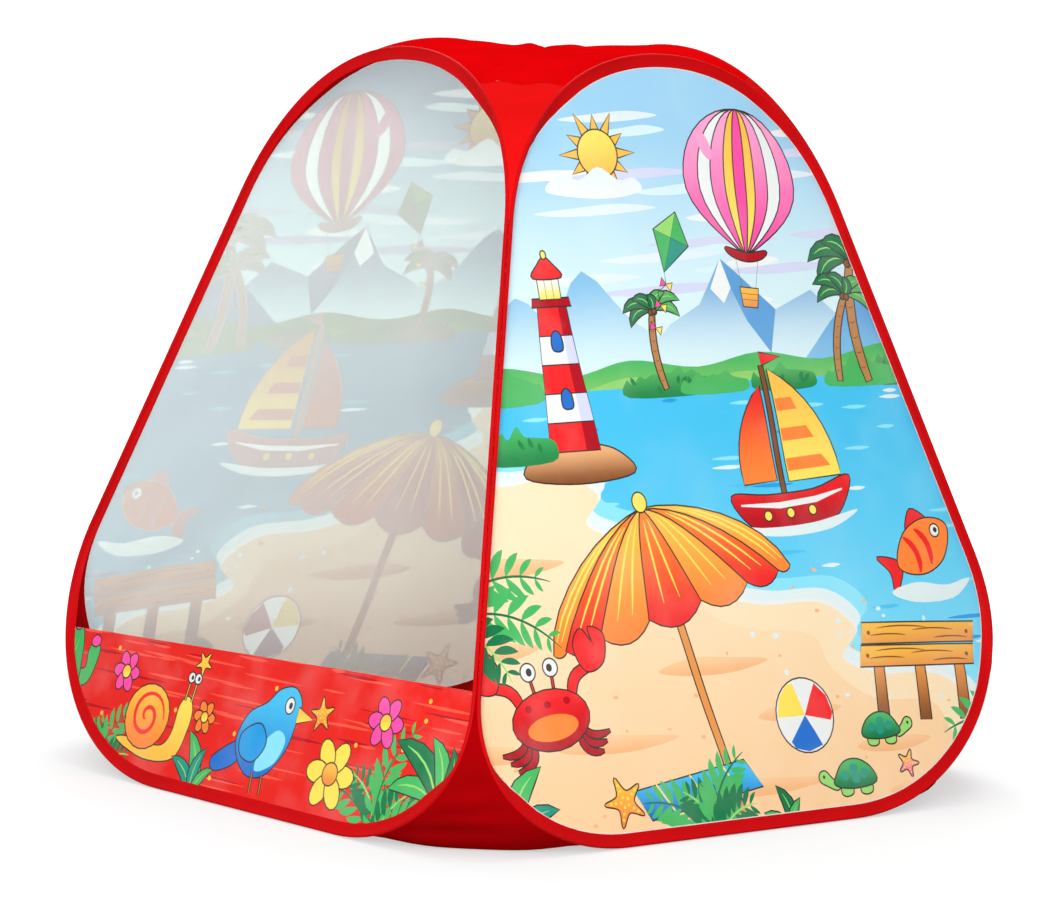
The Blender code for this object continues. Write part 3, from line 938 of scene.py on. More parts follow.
def grown(loop: Array, distance: float) -> Array:
    """A loop moved outwards by a distance."""
    x, y = loop[:, 0], loop[:, 1]
    area = np.sum(x * np.roll(y, -1) - np.roll(x, -1) * y)
    ways = np.roll(loop, -1, 0) - np.roll(loop, 1, 0)
    out = np.stack((ways[:, 1], -ways[:, 0]), -1)
    out = out / (np.linalg.norm(out, axis=1, keepdims=True) + TINY)
    return loop + out * distance * (1 if area > 0 else -1)


def divided(loop: Array, step: float) -> Array:
    """A loop whose long sides are cut into steps, so that they can follow a bent surface."""
    points = []
    for start, end in zip(loop, np.roll(loop, -1, axis=0)):
        count = max(1, math.ceil(float(np.linalg.norm(end - start)) / step))
        points.append(start + (end - start) * (np.arange(count)[:, None] / count))
    return np.vstack(points)


def clipped(loop: Array, above: Callable[[Array], Array]) -> Array:
    """The part of a loop that a linear function of its points puts at nothing or less."""
    values = above(loop)
    kept = []
    for number, point in enumerate(loop):
        following = (number + 1) % len(loop)
        if values[number] <= 0:
            kept.append(point)
        if (values[number] < 0) != (values[following] < 0):
            share = values[number] / (values[number] - values[following])
            kept.append(point + (loop[following] - point) * share)
    return np.array(kept)


class Picture:
    """A printed picture in a wall's plane, in millimetres, kept in painting order."""

    def __init__(self, ground: Fill, line: Fill, line_width: float = 1.8) -> None:
        """Args: ground: the ink behind everything. line: the outlines' ink, and their width."""
        self.ground = ground
        self.line = line
        self.line_width = line_width
        self.shapes: list[Shape] = []

    def add(self, loop: Array, fill: Fill, lined: bool) -> None:
        """Paints a loop, with an outline round it where it is lined."""
        if lined:
            self.shapes.append(Shape(grown(loop, self.line_width), self.line))
        self.shapes.append(Shape(loop, fill))

    def paint(self, places: Array, corners: Array) -> Array:
        """Linear colours of triangles.

        Args:
            places: each triangle's middle, in millimetres.
            corners: its three corners.

        Returns:
            Three colours a triangle.
        """
        colours = self.ground.at(corners.reshape(-1, 2)).reshape(-1, 3, 3)
        for shape in self.shapes:
            low, high = shape.loop.min(axis=0), shape.loop.max(axis=0)
            near = np.flatnonzero(np.all((places >= low) & (places <= high), axis=1))
            held = near[holds(shape.loop, places[near])]
            colours[held] = shape.fill.at(corners[held].reshape(-1, 2)).reshape(-1, 3, 3)
        return colours


class Ink(Enum):
    """The print's inks, as screen colours."""

    LINE = (52, 44, 40)
    WHITE = (240, 241, 240)
    FOAM = (226, 240, 242)
    CLOUD = (226, 236, 246)
    LILAC = (206, 208, 236)
    SKY = (146, 200, 232)
    HAZE = (214, 238, 244)
    PEAK = (84, 150, 204)
    RIDGE = (120, 182, 222)
    HILL = (132, 196, 92)
    BUSH = (72, 168, 84)
    DEEP_BUSH = (30, 122, 66)
    LAGOON = (42, 184, 230)
    SHALLOW = (124, 220, 244)
    DEEP_WATER = (22, 146, 212)
    SAND = (252, 222, 178)
    WARM_SAND = (246, 196, 142)
    PATCH = (238, 172, 112)
    LEAF = (58, 172, 86)
    PALE_LEAF = (142, 208, 96)
    DARK_LEAF = (18, 110, 66)
    TEAL = (24, 140, 120)
    TRUNK = (176, 122, 70)
    PLANK = (222, 140, 62)
    BARK = (126, 74, 40)
    RED = (226, 30, 34)
    DARK_RED = (166, 14, 30)
    PINK = (240, 70, 156)
    PALE_PINK = (250, 150, 200)
    ORANGE = (246, 124, 34)
    YELLOW = (254, 222, 40)
    GOLD = (246, 182, 34)
    BLUE = (36, 104, 190)
    SKIRT = (214, 28, 22)
    STREAK = (240, 78, 56)

    def fill(self, end: Ink | None = None, start_at: Point = (0, 0), end_at: Point = (0, 1)) -> Fill:
        """The ink, which may run into another between two points."""
        return Fill(self.value, end.value if end else None, start_at, end_at)


@dataclass
class Sketch:
    """A place, size and turn on a picture that a motif is drawn at."""

    picture: Picture
    at: Point = (0.0, 0.0)
    size: float = 1.0
    turn: float = 0.0
    flip: bool = False

    def area(self, points: Line, paint: Ink, end: Ink | None = None, lined: bool = False) -> None:
        """Paints a loop with straight sides, which may run into another ink upwards."""
        loop = np.asarray(points, float) * self.size * ((-1.0, 1.0) if self.flip else (1.0, 1.0))
        loop = turned(loop, self.turn) + np.asarray(self.at, float)
        low, high = loop.min(axis=0), loop.max(axis=0)
        self.picture.add(loop, paint.fill(end, tuple(low), (low[0], high[1])), lined)

    def flat(self, points: Line, paint: Ink, end: Ink | None = None) -> None:
        """Paints an outlined loop with straight sides."""
        self.area(points, paint, end, True)

    def blob(self, points: Line, paint: Ink, end: Ink | None = None) -> None:
        """Paints an outlined smooth loop through points."""
        self.area(closed_curve(points, 5), paint, end, True)

    def patch(self, points: Line, paint: Ink, end: Ink | None = None, steps: int = 5) -> None:
        """Paints a smooth loop through points, with no outline."""
        self.area(closed_curve(points, steps), paint, end)

    def streak(self, place: Point, long: float, outline: Line, paint: Ink,
               end: Ink | None = None, steps: int = 5) -> None:
        """Paints a long patch: its outline holds shares of its half length, and heights."""
        u, v = place
        self.patch([(u + long * share, v + height) for share, height in outline], paint, end, steps)

    def oval(self, centre: Point, radii: Point, paint: Ink, end: Ink | None = None,
             lined: bool = True, turn: float = 0.0, corners: int = 20) -> None:
        """Paints an ellipse."""
        angles = np.linspace(0, 2 * math.pi, corners, endpoint=False)
        loop = np.stack((np.cos(angles) * radii[0], np.sin(angles) * radii[1]), -1)
        self.area(turned(loop, turn) + np.asarray(centre, float), paint, end, lined)

    def dot(self, centre: Point, radii: Point, paint: Ink, corners: int = 10) -> None:
        """Paints a small ellipse with no outline."""
        self.oval(centre, radii, paint, None, False, 0.0, corners)

    def eye(self, centre: Point, radii: Point, pupil: Point, look: float = 1.0) -> None:
        """Paints an eye, whose pupil stands off to one side."""
        self.oval(centre, radii, Ink.WHITE)
        self.dot((centre[0] + look, centre[1]), pupil, Ink.LINE)

    def line(self, points: Line, width: float, paint: Ink, lined: bool = False, thin: float = 0.3) -> None:
        """Paints a brush line that thins towards its ends."""
        p = np.asarray(points, float)
        out = across(p)
        out = out / (np.linalg.norm(out, axis=1, keepdims=True) + TINY)
        share = np.linspace(-1, 1, len(p))[:, None]
        half = width / 2 * (1 - (1 - thin) * share**4)
        self.area(np.vstack((p + out * half, (p - out * half)[::-1])), paint, None, lined)


def arc(start: Point, end: Point, bend: float, count: int = 9) -> Array:
    """Points of a bowed line, whose middle lies to its left by a share of its length."""
    a, b = np.asarray(start, float), np.asarray(end, float)
    t = np.linspace(0, 1, count)[:, None]
    side = np.array((-(b - a)[1], (b - a)[0]))
    return a + (b - a) * t + side * bend * 4 * t * (1 - t)


def tapered(x: float, low_half: float, low: float, high_half: float, high: float) -> list[Point]:
    """A four-sided outline about x, given by half its width at two heights."""
    return [(x - low_half, low), (x + low_half, low), (x + high_half, high), (x - high_half, high)]


def leaf(s: Sketch, base: Point, tip: Point, width: float, paint: Ink, bend: float = 0.1,
         rib: Ink | None = None) -> None:
    """A pointed leaf, which is outlined where it has a rib."""
    spine = arc(base, tip, bend, 7)
    half = (np.sin(np.linspace(0, math.pi, 7)) ** 0.8 * width / 2)[:, None]
    out = unit(across(spine))
    s.area(np.vstack((spine + out * half, (spine - out * half)[-2:0:-1])), paint, None, bool(rib))
    if rib:
        s.line(spine[:-1], width * 0.10, rib)


def frond(s: Sketch, tip: Point, width: float, paint: Ink, rib: Ink, bend: float, pairs: int = 8) -> None:
    """A feathered leaf: a bowed stem with pairs of narrow leaflets."""
    stem = arc((0, 0), tip, bend, pairs * 2 + 3)
    ways = unit(np.gradient(stem, axis=0))
    for number in range(1, pairs + 1):
        place, way = stem[number * 2], ways[number * 2]
        reach = width * (0.35 + 0.65 * math.sin(math.pi * min(1.0, number / pairs * 0.85 + 0.1)))
        for side in (-1, 1):
            out = unit(np.array((-way[1], way[0])) * side + way * 0.9)
            leaf(s, place, place + out * reach, reach * 0.30, paint, 0.08 * side)
    s.line(stem, width * 0.07, rib)


def fern(s: Sketch, reach: float, angles: Sequence[float]) -> None:
    """Fronds that fan out from one root."""
    for number, angle in enumerate(angles):
        tip = polar(angle, reach * (0.78 + 0.22 * math.cos(number * 2.1)))
        paint = (Ink.LEAF, Ink.DARK_LEAF, Ink.BUSH)[number % 3]
        rib = Ink.PALE_LEAF if paint is Ink.DARK_LEAF else Ink.DARK_LEAF
        frond(s, tip, 34, paint, rib, 0.16 if angle < 90 else -0.16)


def broad_plant(s: Sketch, reach: float, angles: Sequence[float], *inks: Ink) -> None:
    """Broad leaves that fan out from one root."""
    for number, angle in enumerate(angles):
        far = reach * (0.8 + 0.2 * math.sin(number * 1.7))
        bend = 0.14 if angle < 90 else -0.14
        leaf(s, (0, 0), polar(angle, far), far * 0.26, inks[number % len(inks)], bend, Ink.PALE_LEAF)


def palm(s: Sketch, height: float = 150.0, lean: float = 0.08) -> None:
    """A palm tree."""
    trunk = arc((0, 0), (height * 0.12, height), lean, 9)
    s.line(trunk, 13, Ink.TRUNK, True, 0.75)
    for x, y in trunk[1:-1]:
        s.line([(x - 5, y - 1), (x, y - 3), (x + 5, y - 1)], 1.6, Ink.BARK)
    x, y = trunk[-1]
    crown = ((200, 66), (-20, 66), (165, 74), (15, 74), (130, 62), (50, 62), (92, 52))
    for number, (angle, reach) in enumerate(crown):
        out, up = polar(angle, reach)
        paint = (Ink.DARK_LEAF, Ink.BUSH)[number % 2]
        leaf(s, (x, y), (x + out, y + up * 0.7 - 6), 20, paint, -0.24 if out < 0 else 0.24, Ink.PALE_LEAF)
    for dx in (-5, 4):
        s.oval((x + dx, y - 3), (4.5, 4.5), Ink.BARK)


def bush(s: Sketch, width: float, height: float, paint: Ink, shade: Ink, seed: int) -> None:
    """A rounded bush with darker tufts."""
    chance = np.random.default_rng(seed)
    count = max(5, int(width / 16))
    points = [(-width / 2, 0)]
    for number, x in enumerate(np.linspace(-width / 2, width / 2, count)):
        dome = math.sin(math.pi * (number + 0.7) / (count + 0.4))
        points.append((x, height * (0.45 + 0.55 * dome) * chance.uniform(0.8, 1.1)))
        points.append((x + width / count / 2, height * (0.30 + 0.5 * dome)))
    points.append((width / 2, 0))
    s.patch(points, shade, paint, 4)
    for _ in range(count):
        x, y = chance.uniform(-width * 0.42, width * 0.42), chance.uniform(2, height * 0.55)
        leaf(s, (x, y), (x + chance.uniform(-9, 9), y + height * 0.3), 6, shade)


def balloon(s: Sketch) -> None:
    """A striped hot-air balloon."""
    for side in (-1, 1):
        s.line([(side * 17, -62), (side * 9, -100)], 1.6, Ink.BARK)
    s.flat(tapered(0, 12, -100, 9, -119), Ink.PLANK, Ink.GOLD)
    for half, y in ((11, -106), (10, -112)):
        s.line([(-half, y), (half, y)], 1.8, Ink.BARK)
    angle = np.linspace(0, 2 * math.pi, 36, endpoint=False)
    y = np.sin(angle)
    narrow = np.where(y < 0, 1 - 0.62 * np.abs(y) ** 2.2, 1.0)
    for half, paint, end in ((74, Ink.PINK, Ink.PALE_PINK), (55, Ink.WHITE, None),
                             (38, Ink.PINK, Ink.PALE_PINK), (20, Ink.YELLOW, Ink.GOLD),
                             (7, Ink.PINK, None)):
        s.flat(np.stack((np.cos(angle) * half * narrow, y * 74 + 10), -1), paint, end)
    s.blob([(-27, -60), (0, -64), (27, -60), (20, -68), (0, -72), (-20, -68)], Ink.DARK_RED)
    s.oval((-44, 44), (7, 16), Ink.PALE_PINK, None, False, 28)


def boat(s: Sketch) -> None:
    """A little sailing boat with striped sails."""
    s.line([(-2, -4), (0, 100)], 4.5, Ink.BARK, True, 0.9)
    s.flat([*arc((6, 96), (62, 6), 0.13), (6, 6)], Ink.YELLOW, Ink.GOLD)
    for low in (14, 38, 62):
        width = 50 * (1 - low / 98)
        s.area([(7, low), (10 + width, low), (9 + width * 0.84, low + 10), (7, low + 10)], Ink.ORANGE)
    s.flat([*arc((-7, 84), (-42, 8), -0.13), (-7, 8)], Ink.ORANGE, Ink.RED)
    s.flat([(1, 100), (1, 110), (22, 105)], Ink.RED)
    s.blob([(-58, 0), (-20, -3), (30, -3), (70, 4), (52, -24), (20, -30), (-20, -30), (-44, -24)],
           Ink.DARK_RED, Ink.RED)
    s.line([(-50, -8), (-10, -12), (30, -11), (60, -6)], 5, Ink.WHITE)
    for x in (-24, 0, 24):
        s.oval((x, -19), (3.6, 3.6), Ink.YELLOW)


def parasol(s: Sketch, gores: int = 7, radius: float = 118.0, drop: float = 78.0) -> None:
    """A beach parasol with ribbed orange and yellow gores."""
    def seam(place: float, low: float, high: float, count: int) -> Array:
        """A line down the cloth, at a place from -1 to 1 across it."""
        return np.array([(math.sin(place * math.pi / 2 * t) * radius * t**0.3,
                          drop * math.cos(t * math.pi / 2 * 0.98)) for t in np.linspace(low, high, count)])

    s.line([(0, -150), (0, 8)], 6, Ink.PLANK, True, 0.95)
    edges = np.linspace(-1, 1, gores + 1)
    for number, (start, end) in enumerate(zip(edges, edges[1:])):
        left, right = seam(start, 0.02, 1, 9), seam(end, 0.02, 1, 9)
        scallop = arc(left[-1], right[-1], -0.22, 7)[1:-1]
        paints = ((Ink.ORANGE, Ink.GOLD), (Ink.RED, Ink.ORANGE))[number % 2]
        s.flat(np.vstack((left, scallop, right[::-1])), *paints)
        for share in (0.33, 0.66):
            s.line(seam(start + (end - start) * share, 0.3, 0.94, 6), 1.8, Ink.YELLOW)
    s.oval((0, drop + 5), (6, 7), Ink.YELLOW)


def lighthouse(s: Sketch) -> None:
    """A banded lighthouse on a rock."""
    s.blob([(-72, -8), (-52, 18), (-20, 26), (22, 24), (58, 14), (76, -10), (0, -18)], Ink.BARK, Ink.PATCH)
    halves = (34, 31, 28, 25, 22, 19)
    for number, (wide, narrow) in enumerate(zip(halves, halves[1:])):
        low, high = 18 + number * 32, 50 + number * 32
        paint, shade = ((Ink.RED, Ink.DARK_RED), (Ink.WHITE, Ink.LILAC))[number % 2]
        s.flat(tapered(0, wide, low, narrow, high), paint)
        s.area([(wide * 0.45, low), (wide, low), (narrow, high), (narrow * 0.45, high)], shade)
    for low in (66, 130):
        s.blob([(-6, low), (6, low), (6, low + 14), (0, low + 20), (-6, low + 14)], Ink.BLUE)
    s.flat(tapered(0, 27, 178, 25, 186), Ink.DARK_RED)
    s.flat(tapered(0, 14, 186, 14, 210), Ink.YELLOW, Ink.WHITE)
    for x in (-5, 5):
        s.line([(x, 186), (x, 210)], 1.6, Ink.LINE)
    s.blob([(-19, 210), (19, 210), (10, 224), (0, 232), (-10, 224)], Ink.RED)
    s.oval((0, 235), (3, 4), Ink.YELLOW)


def kite(s: Sketch) -> None:
    """A kite with a tail of bows."""
    tail = [(0, -52), (8, -70), (-4, -88), (6, -106), (-6, -126), (4, -144)]
    s.line(tail, 1.6, Ink.LINE)
    for x, y in tail[1::2]:
        for side, paint in ((-1, Ink.PINK), (1, Ink.YELLOW)):
            s.flat([(x, y), (x + side * 10, y + 6), (x + side * 10, y - 6)], paint)
    s.flat([(0, 46), (-34, 4), (0, -52), (34, 4)], Ink.LEAF)
    s.area([(0, 46), (-34, 4), (0, 4)], Ink.PALE_LEAF)
    s.area([(0, 4), (34, 4), (0, -52)], Ink.TEAL)
    s.line([(0, 46), (0, -52)], 1.6, Ink.LINE)
    s.line([(-34, 4), (34, 4)], 1.6, Ink.LINE)


def starfish(s: Sketch, paint: Ink = Ink.ORANGE) -> None:
    """A starfish with pale dots."""
    s.blob([polar(90 + number * 36, 13 if number % 2 else 30) for number in range(10)], paint, Ink.GOLD)
    for number in range(5):
        for reach in (6, 14, 21):
            s.dot(polar(90 + number * 72, reach), (1.9, 1.9), Ink.YELLOW, 8)


def crab(s: Sketch) -> None:
    """A crab with raised claws."""
    claw = ((44, 26), (62, 30), (68, 50), (56, 58), (57, 44), (48, 58), (38, 46))
    for side in (-1, 1):
        for y, reach in ((-4, 52), (-11, 47), (-18, 42)):
            s.line(arc((side * 22, y), (side * reach, y - 18), -0.25 * side), 5, Ink.DARK_RED, True)
        s.line(arc((side * 24, 6), (side * 50, 28), 0.25 * side), 8, Ink.RED, True)
        s.blob([(side * x, y) for x, y in claw], Ink.RED)
        s.line([(side * 9, 16), (side * 11, 32)], 3.4, Ink.RED, True)
        s.eye((side * 11, 35), (6.5, 6.5), (2.8, 3.2), -side)
    s.oval((0, -4), (36, 23), Ink.DARK_RED, Ink.RED)
    s.oval((0, -10), (24, 10), Ink.ORANGE, None, False)
    for x in (-18, 0, 18):
        s.dot((x, 8), (3.2, 3), Ink.DARK_RED)


def turtle(s: Sketch) -> None:
    """A small turtle seen from the side."""
    for x in (-20, 16):
        s.blob([(x - 7, 2), (x + 8, 2), (x + 11, -12), (x + 2, -16), (x - 9, -12)], Ink.PALE_LEAF)
    s.blob([(26, 4), (40, 8), (52, 20), (62, 18), (63, 8), (50, 0), (34, -6)], Ink.PALE_LEAF)
    s.dot((56, 13), (2.2, 2.6), Ink.LINE)
    s.blob([(-38, 0), (-30, 20), (-8, 32), (16, 30), (32, 14), (36, 0), (0, -6)], Ink.DARK_LEAF, Ink.LEAF)
    for x, y in ((-18, 12), (0, 20), (17, 12), (-2, 6)):
        s.patch([(x - 8, y), (x - 4, y + 6), (x + 4, y + 6), (x + 8, y), (x + 4, y - 6), (x - 4, y - 6)],
                Ink.TEAL, None, 2)


def sun(s: Sketch) -> None:
    """A sun with rays."""
    for number in range(12):
        c, d = polar(number * 30, 1)
        reach = 62 if number % 2 else 74
        s.flat([(c * 40 - d * 7, d * 40 + c * 7), (c * reach, d * reach), (c * 40 + d * 7, d * 40 - c * 7)],
               Ink.GOLD)
    s.oval((0, 0), (38, 38), Ink.GOLD, Ink.YELLOW, True, 0, 32)


def fish(s: Sketch) -> None:
    """A fat striped fish."""
    s.blob([(-30, 0), (-52, 18), (-46, 0), (-52, -18)], Ink.RED)
    s.blob([(-8, 18), (8, 34), (20, 15)], Ink.RED)
    s.blob([(-34, 0), (-12, 20), (18, 20), (38, 3), (18, -18), (-12, -18)], Ink.ORANGE)
    for x in (-14, 2):
        s.line(arc((x, 18), (x, -16), 0.18), 6, Ink.RED)
    s.eye((23, 6), (5, 5), (2.2, 2.4))


def flower(s: Sketch, paint: Ink, heart: Ink = Ink.YELLOW, petals: int = 6) -> None:
    """An open flower."""
    for number in range(petals):
        turn = 360 / petals * number
        s.oval(polar(turn, 15), (12, 8), paint, None, True, turn, 14)
    s.oval((0, 0), (8, 8), heart, Ink.GOLD)


def bird(s: Sketch) -> None:
    """A round blue bird with a yellow bill."""
    s.blob([(-30, -6), (-64, -26), (-58, -38), (-30, -26)], Ink.BLUE)
    s.blob([(-36, -10), (-28, 18), (-6, 32), (8, 46), (28, 50), (42, 38), (40, 18), (34, -8), (14, -32),
            (-14, -34)], Ink.BLUE, Ink.LAGOON)
    s.patch([(0, -30), (24, -20), (32, 2), (18, 10), (2, -6)], Ink.SHALLOW)
    s.blob([(-30, 0), (-8, 12), (6, -4), (-6, -22), (-26, -18)], Ink.DEEP_WATER)
    s.flat([(40, 34), (64, 26), (40, 20)], Ink.YELLOW, Ink.GOLD)
    s.eye((26, 34), (6, 7), (2.6, 3.2))
    for x in (-2, 12):
        s.line([(x, -32), (x + 2, -50)], 3, Ink.ORANGE, True)


def snail(s: Sketch) -> None:
    """A yellow snail with a spiral shell."""
    s.blob([(-46, -22), (-20, -18), (20, -20), (34, -6), (36, 20), (46, 30), (56, 20), (56, 0), (44, -28),
            (0, -34)], Ink.GOLD, Ink.YELLOW)
    for x in (42, 52):
        s.line([(x, 26), (x + 2, 46)], 3, Ink.YELLOW, True)
        s.eye((x + 2, 48), (4.5, 4.5), (2, 2.2))
    s.oval((-8, 4), (32, 30), Ink.ORANGE, Ink.GOLD)
    turn = np.linspace(0, 3.4 * math.pi, 40)
    reach = 25 - turn * 2.1
    s.line(np.stack((-8 + np.cos(turn) * reach, 4 + np.sin(turn) * reach), -1), 4.2, Ink.RED)


def cactus(s: Sketch) -> None:
    """A ribbed cactus with flowers."""
    for paint, points in (
            (Ink.BUSH, [(-34, 4), (-44, 34), (-34, 42), (-26, 34), (-26, 16), (-14, 14), (-14, 0)]),
            (Ink.BUSH, [(36, 12), (46, 44), (36, 52), (28, 44), (28, 26), (14, 22), (14, 8)]),
            (Ink.DARK_LEAF, [(-17, -44), (-20, 10), (-14, 58), (0, 68), (14, 58), (20, 10), (17, -44)])):
        s.blob(points, paint, Ink.LEAF)
    for x in (-9, 0, 9):
        s.line(arc((x, -38), (x * 0.8, 54), 0.01 * x), 1.8, Ink.PALE_LEAF)
    for x, y in ((0, 70), (-35, 44), (37, 54)):
        s.oval((x, y), (7, 5.5), Ink.PINK)


def board(s: Sketch) -> None:
    """A little jetty of bare planks on posts."""
    for x in (-58, 0, 56):
        s.flat(tapered(x, 7, -60, 6, 6), Ink.BARK, Ink.PLANK)
    for x, y in ((0, -4), (5, 20)):
        s.flat([(x - 84, y), (x + 78, y + 3), (x + 82, y + 23), (x - 80, y + 21)], Ink.PLANK, Ink.GOLD)
        for start, end, dy in ((-70, -20, 8), (-10, 50, 14), (20, 70, 6), (-60, 10, 16)):
            s.line(arc((start + x, y + dy), (end + x, y + dy + 1), 0.03), 1.5, Ink.BARK)
        for dx, dy in ((-72, 11), (70, 13)):
            s.dot((dx + x, y + dy), (2.4, 2.4), Ink.BARK, 8)


def beach_ball(s: Sketch) -> None:
    """A ball with three coloured gores."""
    s.oval((0, 0), (30, 30), Ink.WHITE, None, True, 0, 28)
    for turn, paint in ((0, Ink.RED), (120, Ink.YELLOW), (240, Ink.BLUE)):
        s.area(turned([(0, 0), (27, -6), (30, 0), (26, 14), (15, 25), (8, 14)], turn), paint)


def towel(s: Sketch) -> None:
    """A striped towel on the sand."""
    s.flat([(-210, 62), (-40, 84), (-16, 52), (-190, 28)], Ink.BLUE, Ink.LAGOON)
    for share in (0.2, 0.5, 0.8):
        x = -210 + 170 * share
        s.line([(x, 64 + 20 * share), (x + 22, 31 + 22 * share)], 8, Ink.YELLOW)


class Print:
    """A picture to print, and how motifs are put on it."""

    def __init__(self, ground: Fill) -> None:
        """Args: ground: what lies behind everything."""
        self.picture = Picture(ground, Ink.LINE.fill())
        self.whole = Sketch(self.picture)

    def at(self, *where: Point | float | bool) -> Sketch:
        """A sketch at a place, which may have a size, a turn and a flip."""
        return Sketch(self.picture, *where)

    def place(self, *motifs: tuple) -> None:
        """Draws motifs, each given by its function and where its sketch is put."""
        for draw, *where in motifs:
            draw(self.at(*where))


class ShorePrint(Print):
    """The sea-shore scene on the three printed walls."""

    CLOUD = ((-1, 0), (-0.3, 5), (0.4, 8), (1, 2), (0.3, -4), (-0.5, -5))
    WAVE = ((-1, 0), (0, 2.6), (1, 0.6), (0.2, -2.4))
    HOLLOW = ((-1, 0), (-0.4, 12), (0.3, 9), (1, 2), (0.3, -9), (-0.5, -8))
    SHORE = ((-500, 440), (-400, 436), (-322, 424), (-240, 430), (-190, 404), (-214, 372), (-150, 350),
             (-60, 352), (-6, 318), (-40, 282), (30, 262), (120, 258), (168, 222), (140, 190), (196, 168),
             (286, 160), (340, 120), (326, 84), (384, 62), (470, 50), (520, 20), (520, -60), (-500, -60))

    def __init__(self) -> None:
        """Starts from a sky that fades towards the horizon."""
        super().__init__(Ink.SKY.fill(Ink.HAZE, (0, 860), (0, 590)))

    def sky(self) -> None:
        """Streaks of cloud, mountains and the far bank."""
        s = self.whole
        chance = np.random.default_rng(21)
        for number in range(26):
            place = chance.uniform(-260, 260), chance.uniform(610, 880)
            paint = (Ink.CLOUD, Ink.WHITE, Ink.LILAC, Ink.HAZE)[number % 4]
            s.streak(place, chance.uniform(30, 110), self.CLOUD, paint)
        s.patch([(-420, 540), (-330, 586), (-262, 640), (-214, 610), (-160, 668), (-96, 606), (-30, 574),
                 (20, 545)], Ink.HAZE, Ink.RIDGE, 3)
        s.area([(-120, 540), (-40, 600), (10, 622), (52, 676), (84, 650), (128, 612), (190, 634),
                (250, 584), (330, 540)], Ink.HAZE, Ink.PEAK)
        s.area([(52, 676), (84, 650), (76, 628), (62, 640), (48, 622), (30, 640)], Ink.WHITE)
        s.area([(150, 540), (216, 596), (262, 628), (310, 592), (420, 560), (420, 540)],
               Ink.RIDGE, Ink.PEAK)
        s.area([(52, 676), (62, 640), (80, 600), (110, 560), (128, 612), (84, 650)], Ink.PEAK)
        s.patch([(-470, 506), (-400, 548), (-300, 560), (-200, 545), (-110, 560), (-10, 548), (90, 562),
                 (190, 550), (300, 566), (380, 548), (470, 520), (470, 500), (0, 508)], Ink.HILL, Ink.LEAF)
        s.patch([(-200, 512), (-120, 540), (-30, 528), (60, 540), (160, 530), (220, 510), (60, 504)],
                Ink.PALE_LEAF, Ink.HILL)

    def water(self) -> None:
        """The bay, its ripples, its foam and the sand."""
        s = self.whole
        s.area([(-480, 526), (480, 530), (480, -20), (-480, -20)], Ink.SHALLOW, Ink.LAGOON)
        chance = np.random.default_rng(8)
        for number in range(70):
            u, v = chance.uniform(-300, 430), chance.uniform(120, 515)
            long = chance.uniform(14, 60) * (1.25 - v / 600)
            paint = (Ink.DEEP_WATER, Ink.SHALLOW, Ink.LAGOON, Ink.SHALLOW, Ink.FOAM)[number % 5]
            s.streak((u, v), long, self.WAVE, paint, None, 4)
        for du, dv, paint in ((26, 30, Ink.SHALLOW), (12, 16, Ink.FOAM), (4, 4, Ink.WHITE),
                              (0, 0, Ink.SAND)):
            s.patch([(u + du, v + dv) for u, v in self.SHORE], paint)
        s.patch([(-500, 404), (-420, 400), (-340, 384), (-270, 388), (-236, 352), (-150, 318), (-90, 306),
                 (-60, 262), (0, 236), (96, 222), (120, 180), (180, 140), (270, 128), (300, 84), (360, 40),
                 (400, -40), (-500, -40)], Ink.WARM_SAND, Ink.SAND)
        for u, v, long in ((-330, 330, 74), (-190, 262, 60), (-60, 196, 84), (-360, 236, 50), (60, 132, 66),
                           (200, 84, 60), (-220, 118, 90), (-20, 50, 110), (250, 28, 70), (-390, 120, 46)):
            s.streak((u, v), long, self.HOLLOW, Ink.PATCH, Ink.WARM_SAND)
        for count, paint, corners, *ranges in (
                (34, Ink.PATCH, 8, (-400, 300), (20, 330), (1.5, 4.5), (1.2, 3)),
                (22, Ink.FOAM, 10, (-10, 360), (120, 330), (2, 5), (2, 4))):
            for _ in range(count):
                u, v, wide, high = (chance.uniform(*limits) for limits in ranges)
                s.dot((u, v), (wide, high), paint, corners)

    def far_bank(self) -> None:
        """Bushes, palms and the lighthouse across the bay."""
        for number, (u, width, height) in enumerate((
                (-60, 120, 34), (10, 90, 26), (330, 130, 52), (250, 110, 36), (120, 90, 30), (-330, 150, 50),
                (-420, 90, 66))):
            shade = (Ink.DEEP_BUSH, Ink.LEAF)[number % 2]
            bush(self.at((u, 516)), width, height, Ink.BUSH, shade, number)
        for u, v, size, turn in ((262, 520, 0.98, 6), (214, 522, 0.72, -10), (-62, 524, 0.62, 8)):
            palm(self.at((u, v), size, turn))
        lighthouse(self.at((-212, 440), 1.06))
        bush(self.at((-292, 448)), 90, 40, Ink.LEAF, Ink.DEEP_BUSH, 40)

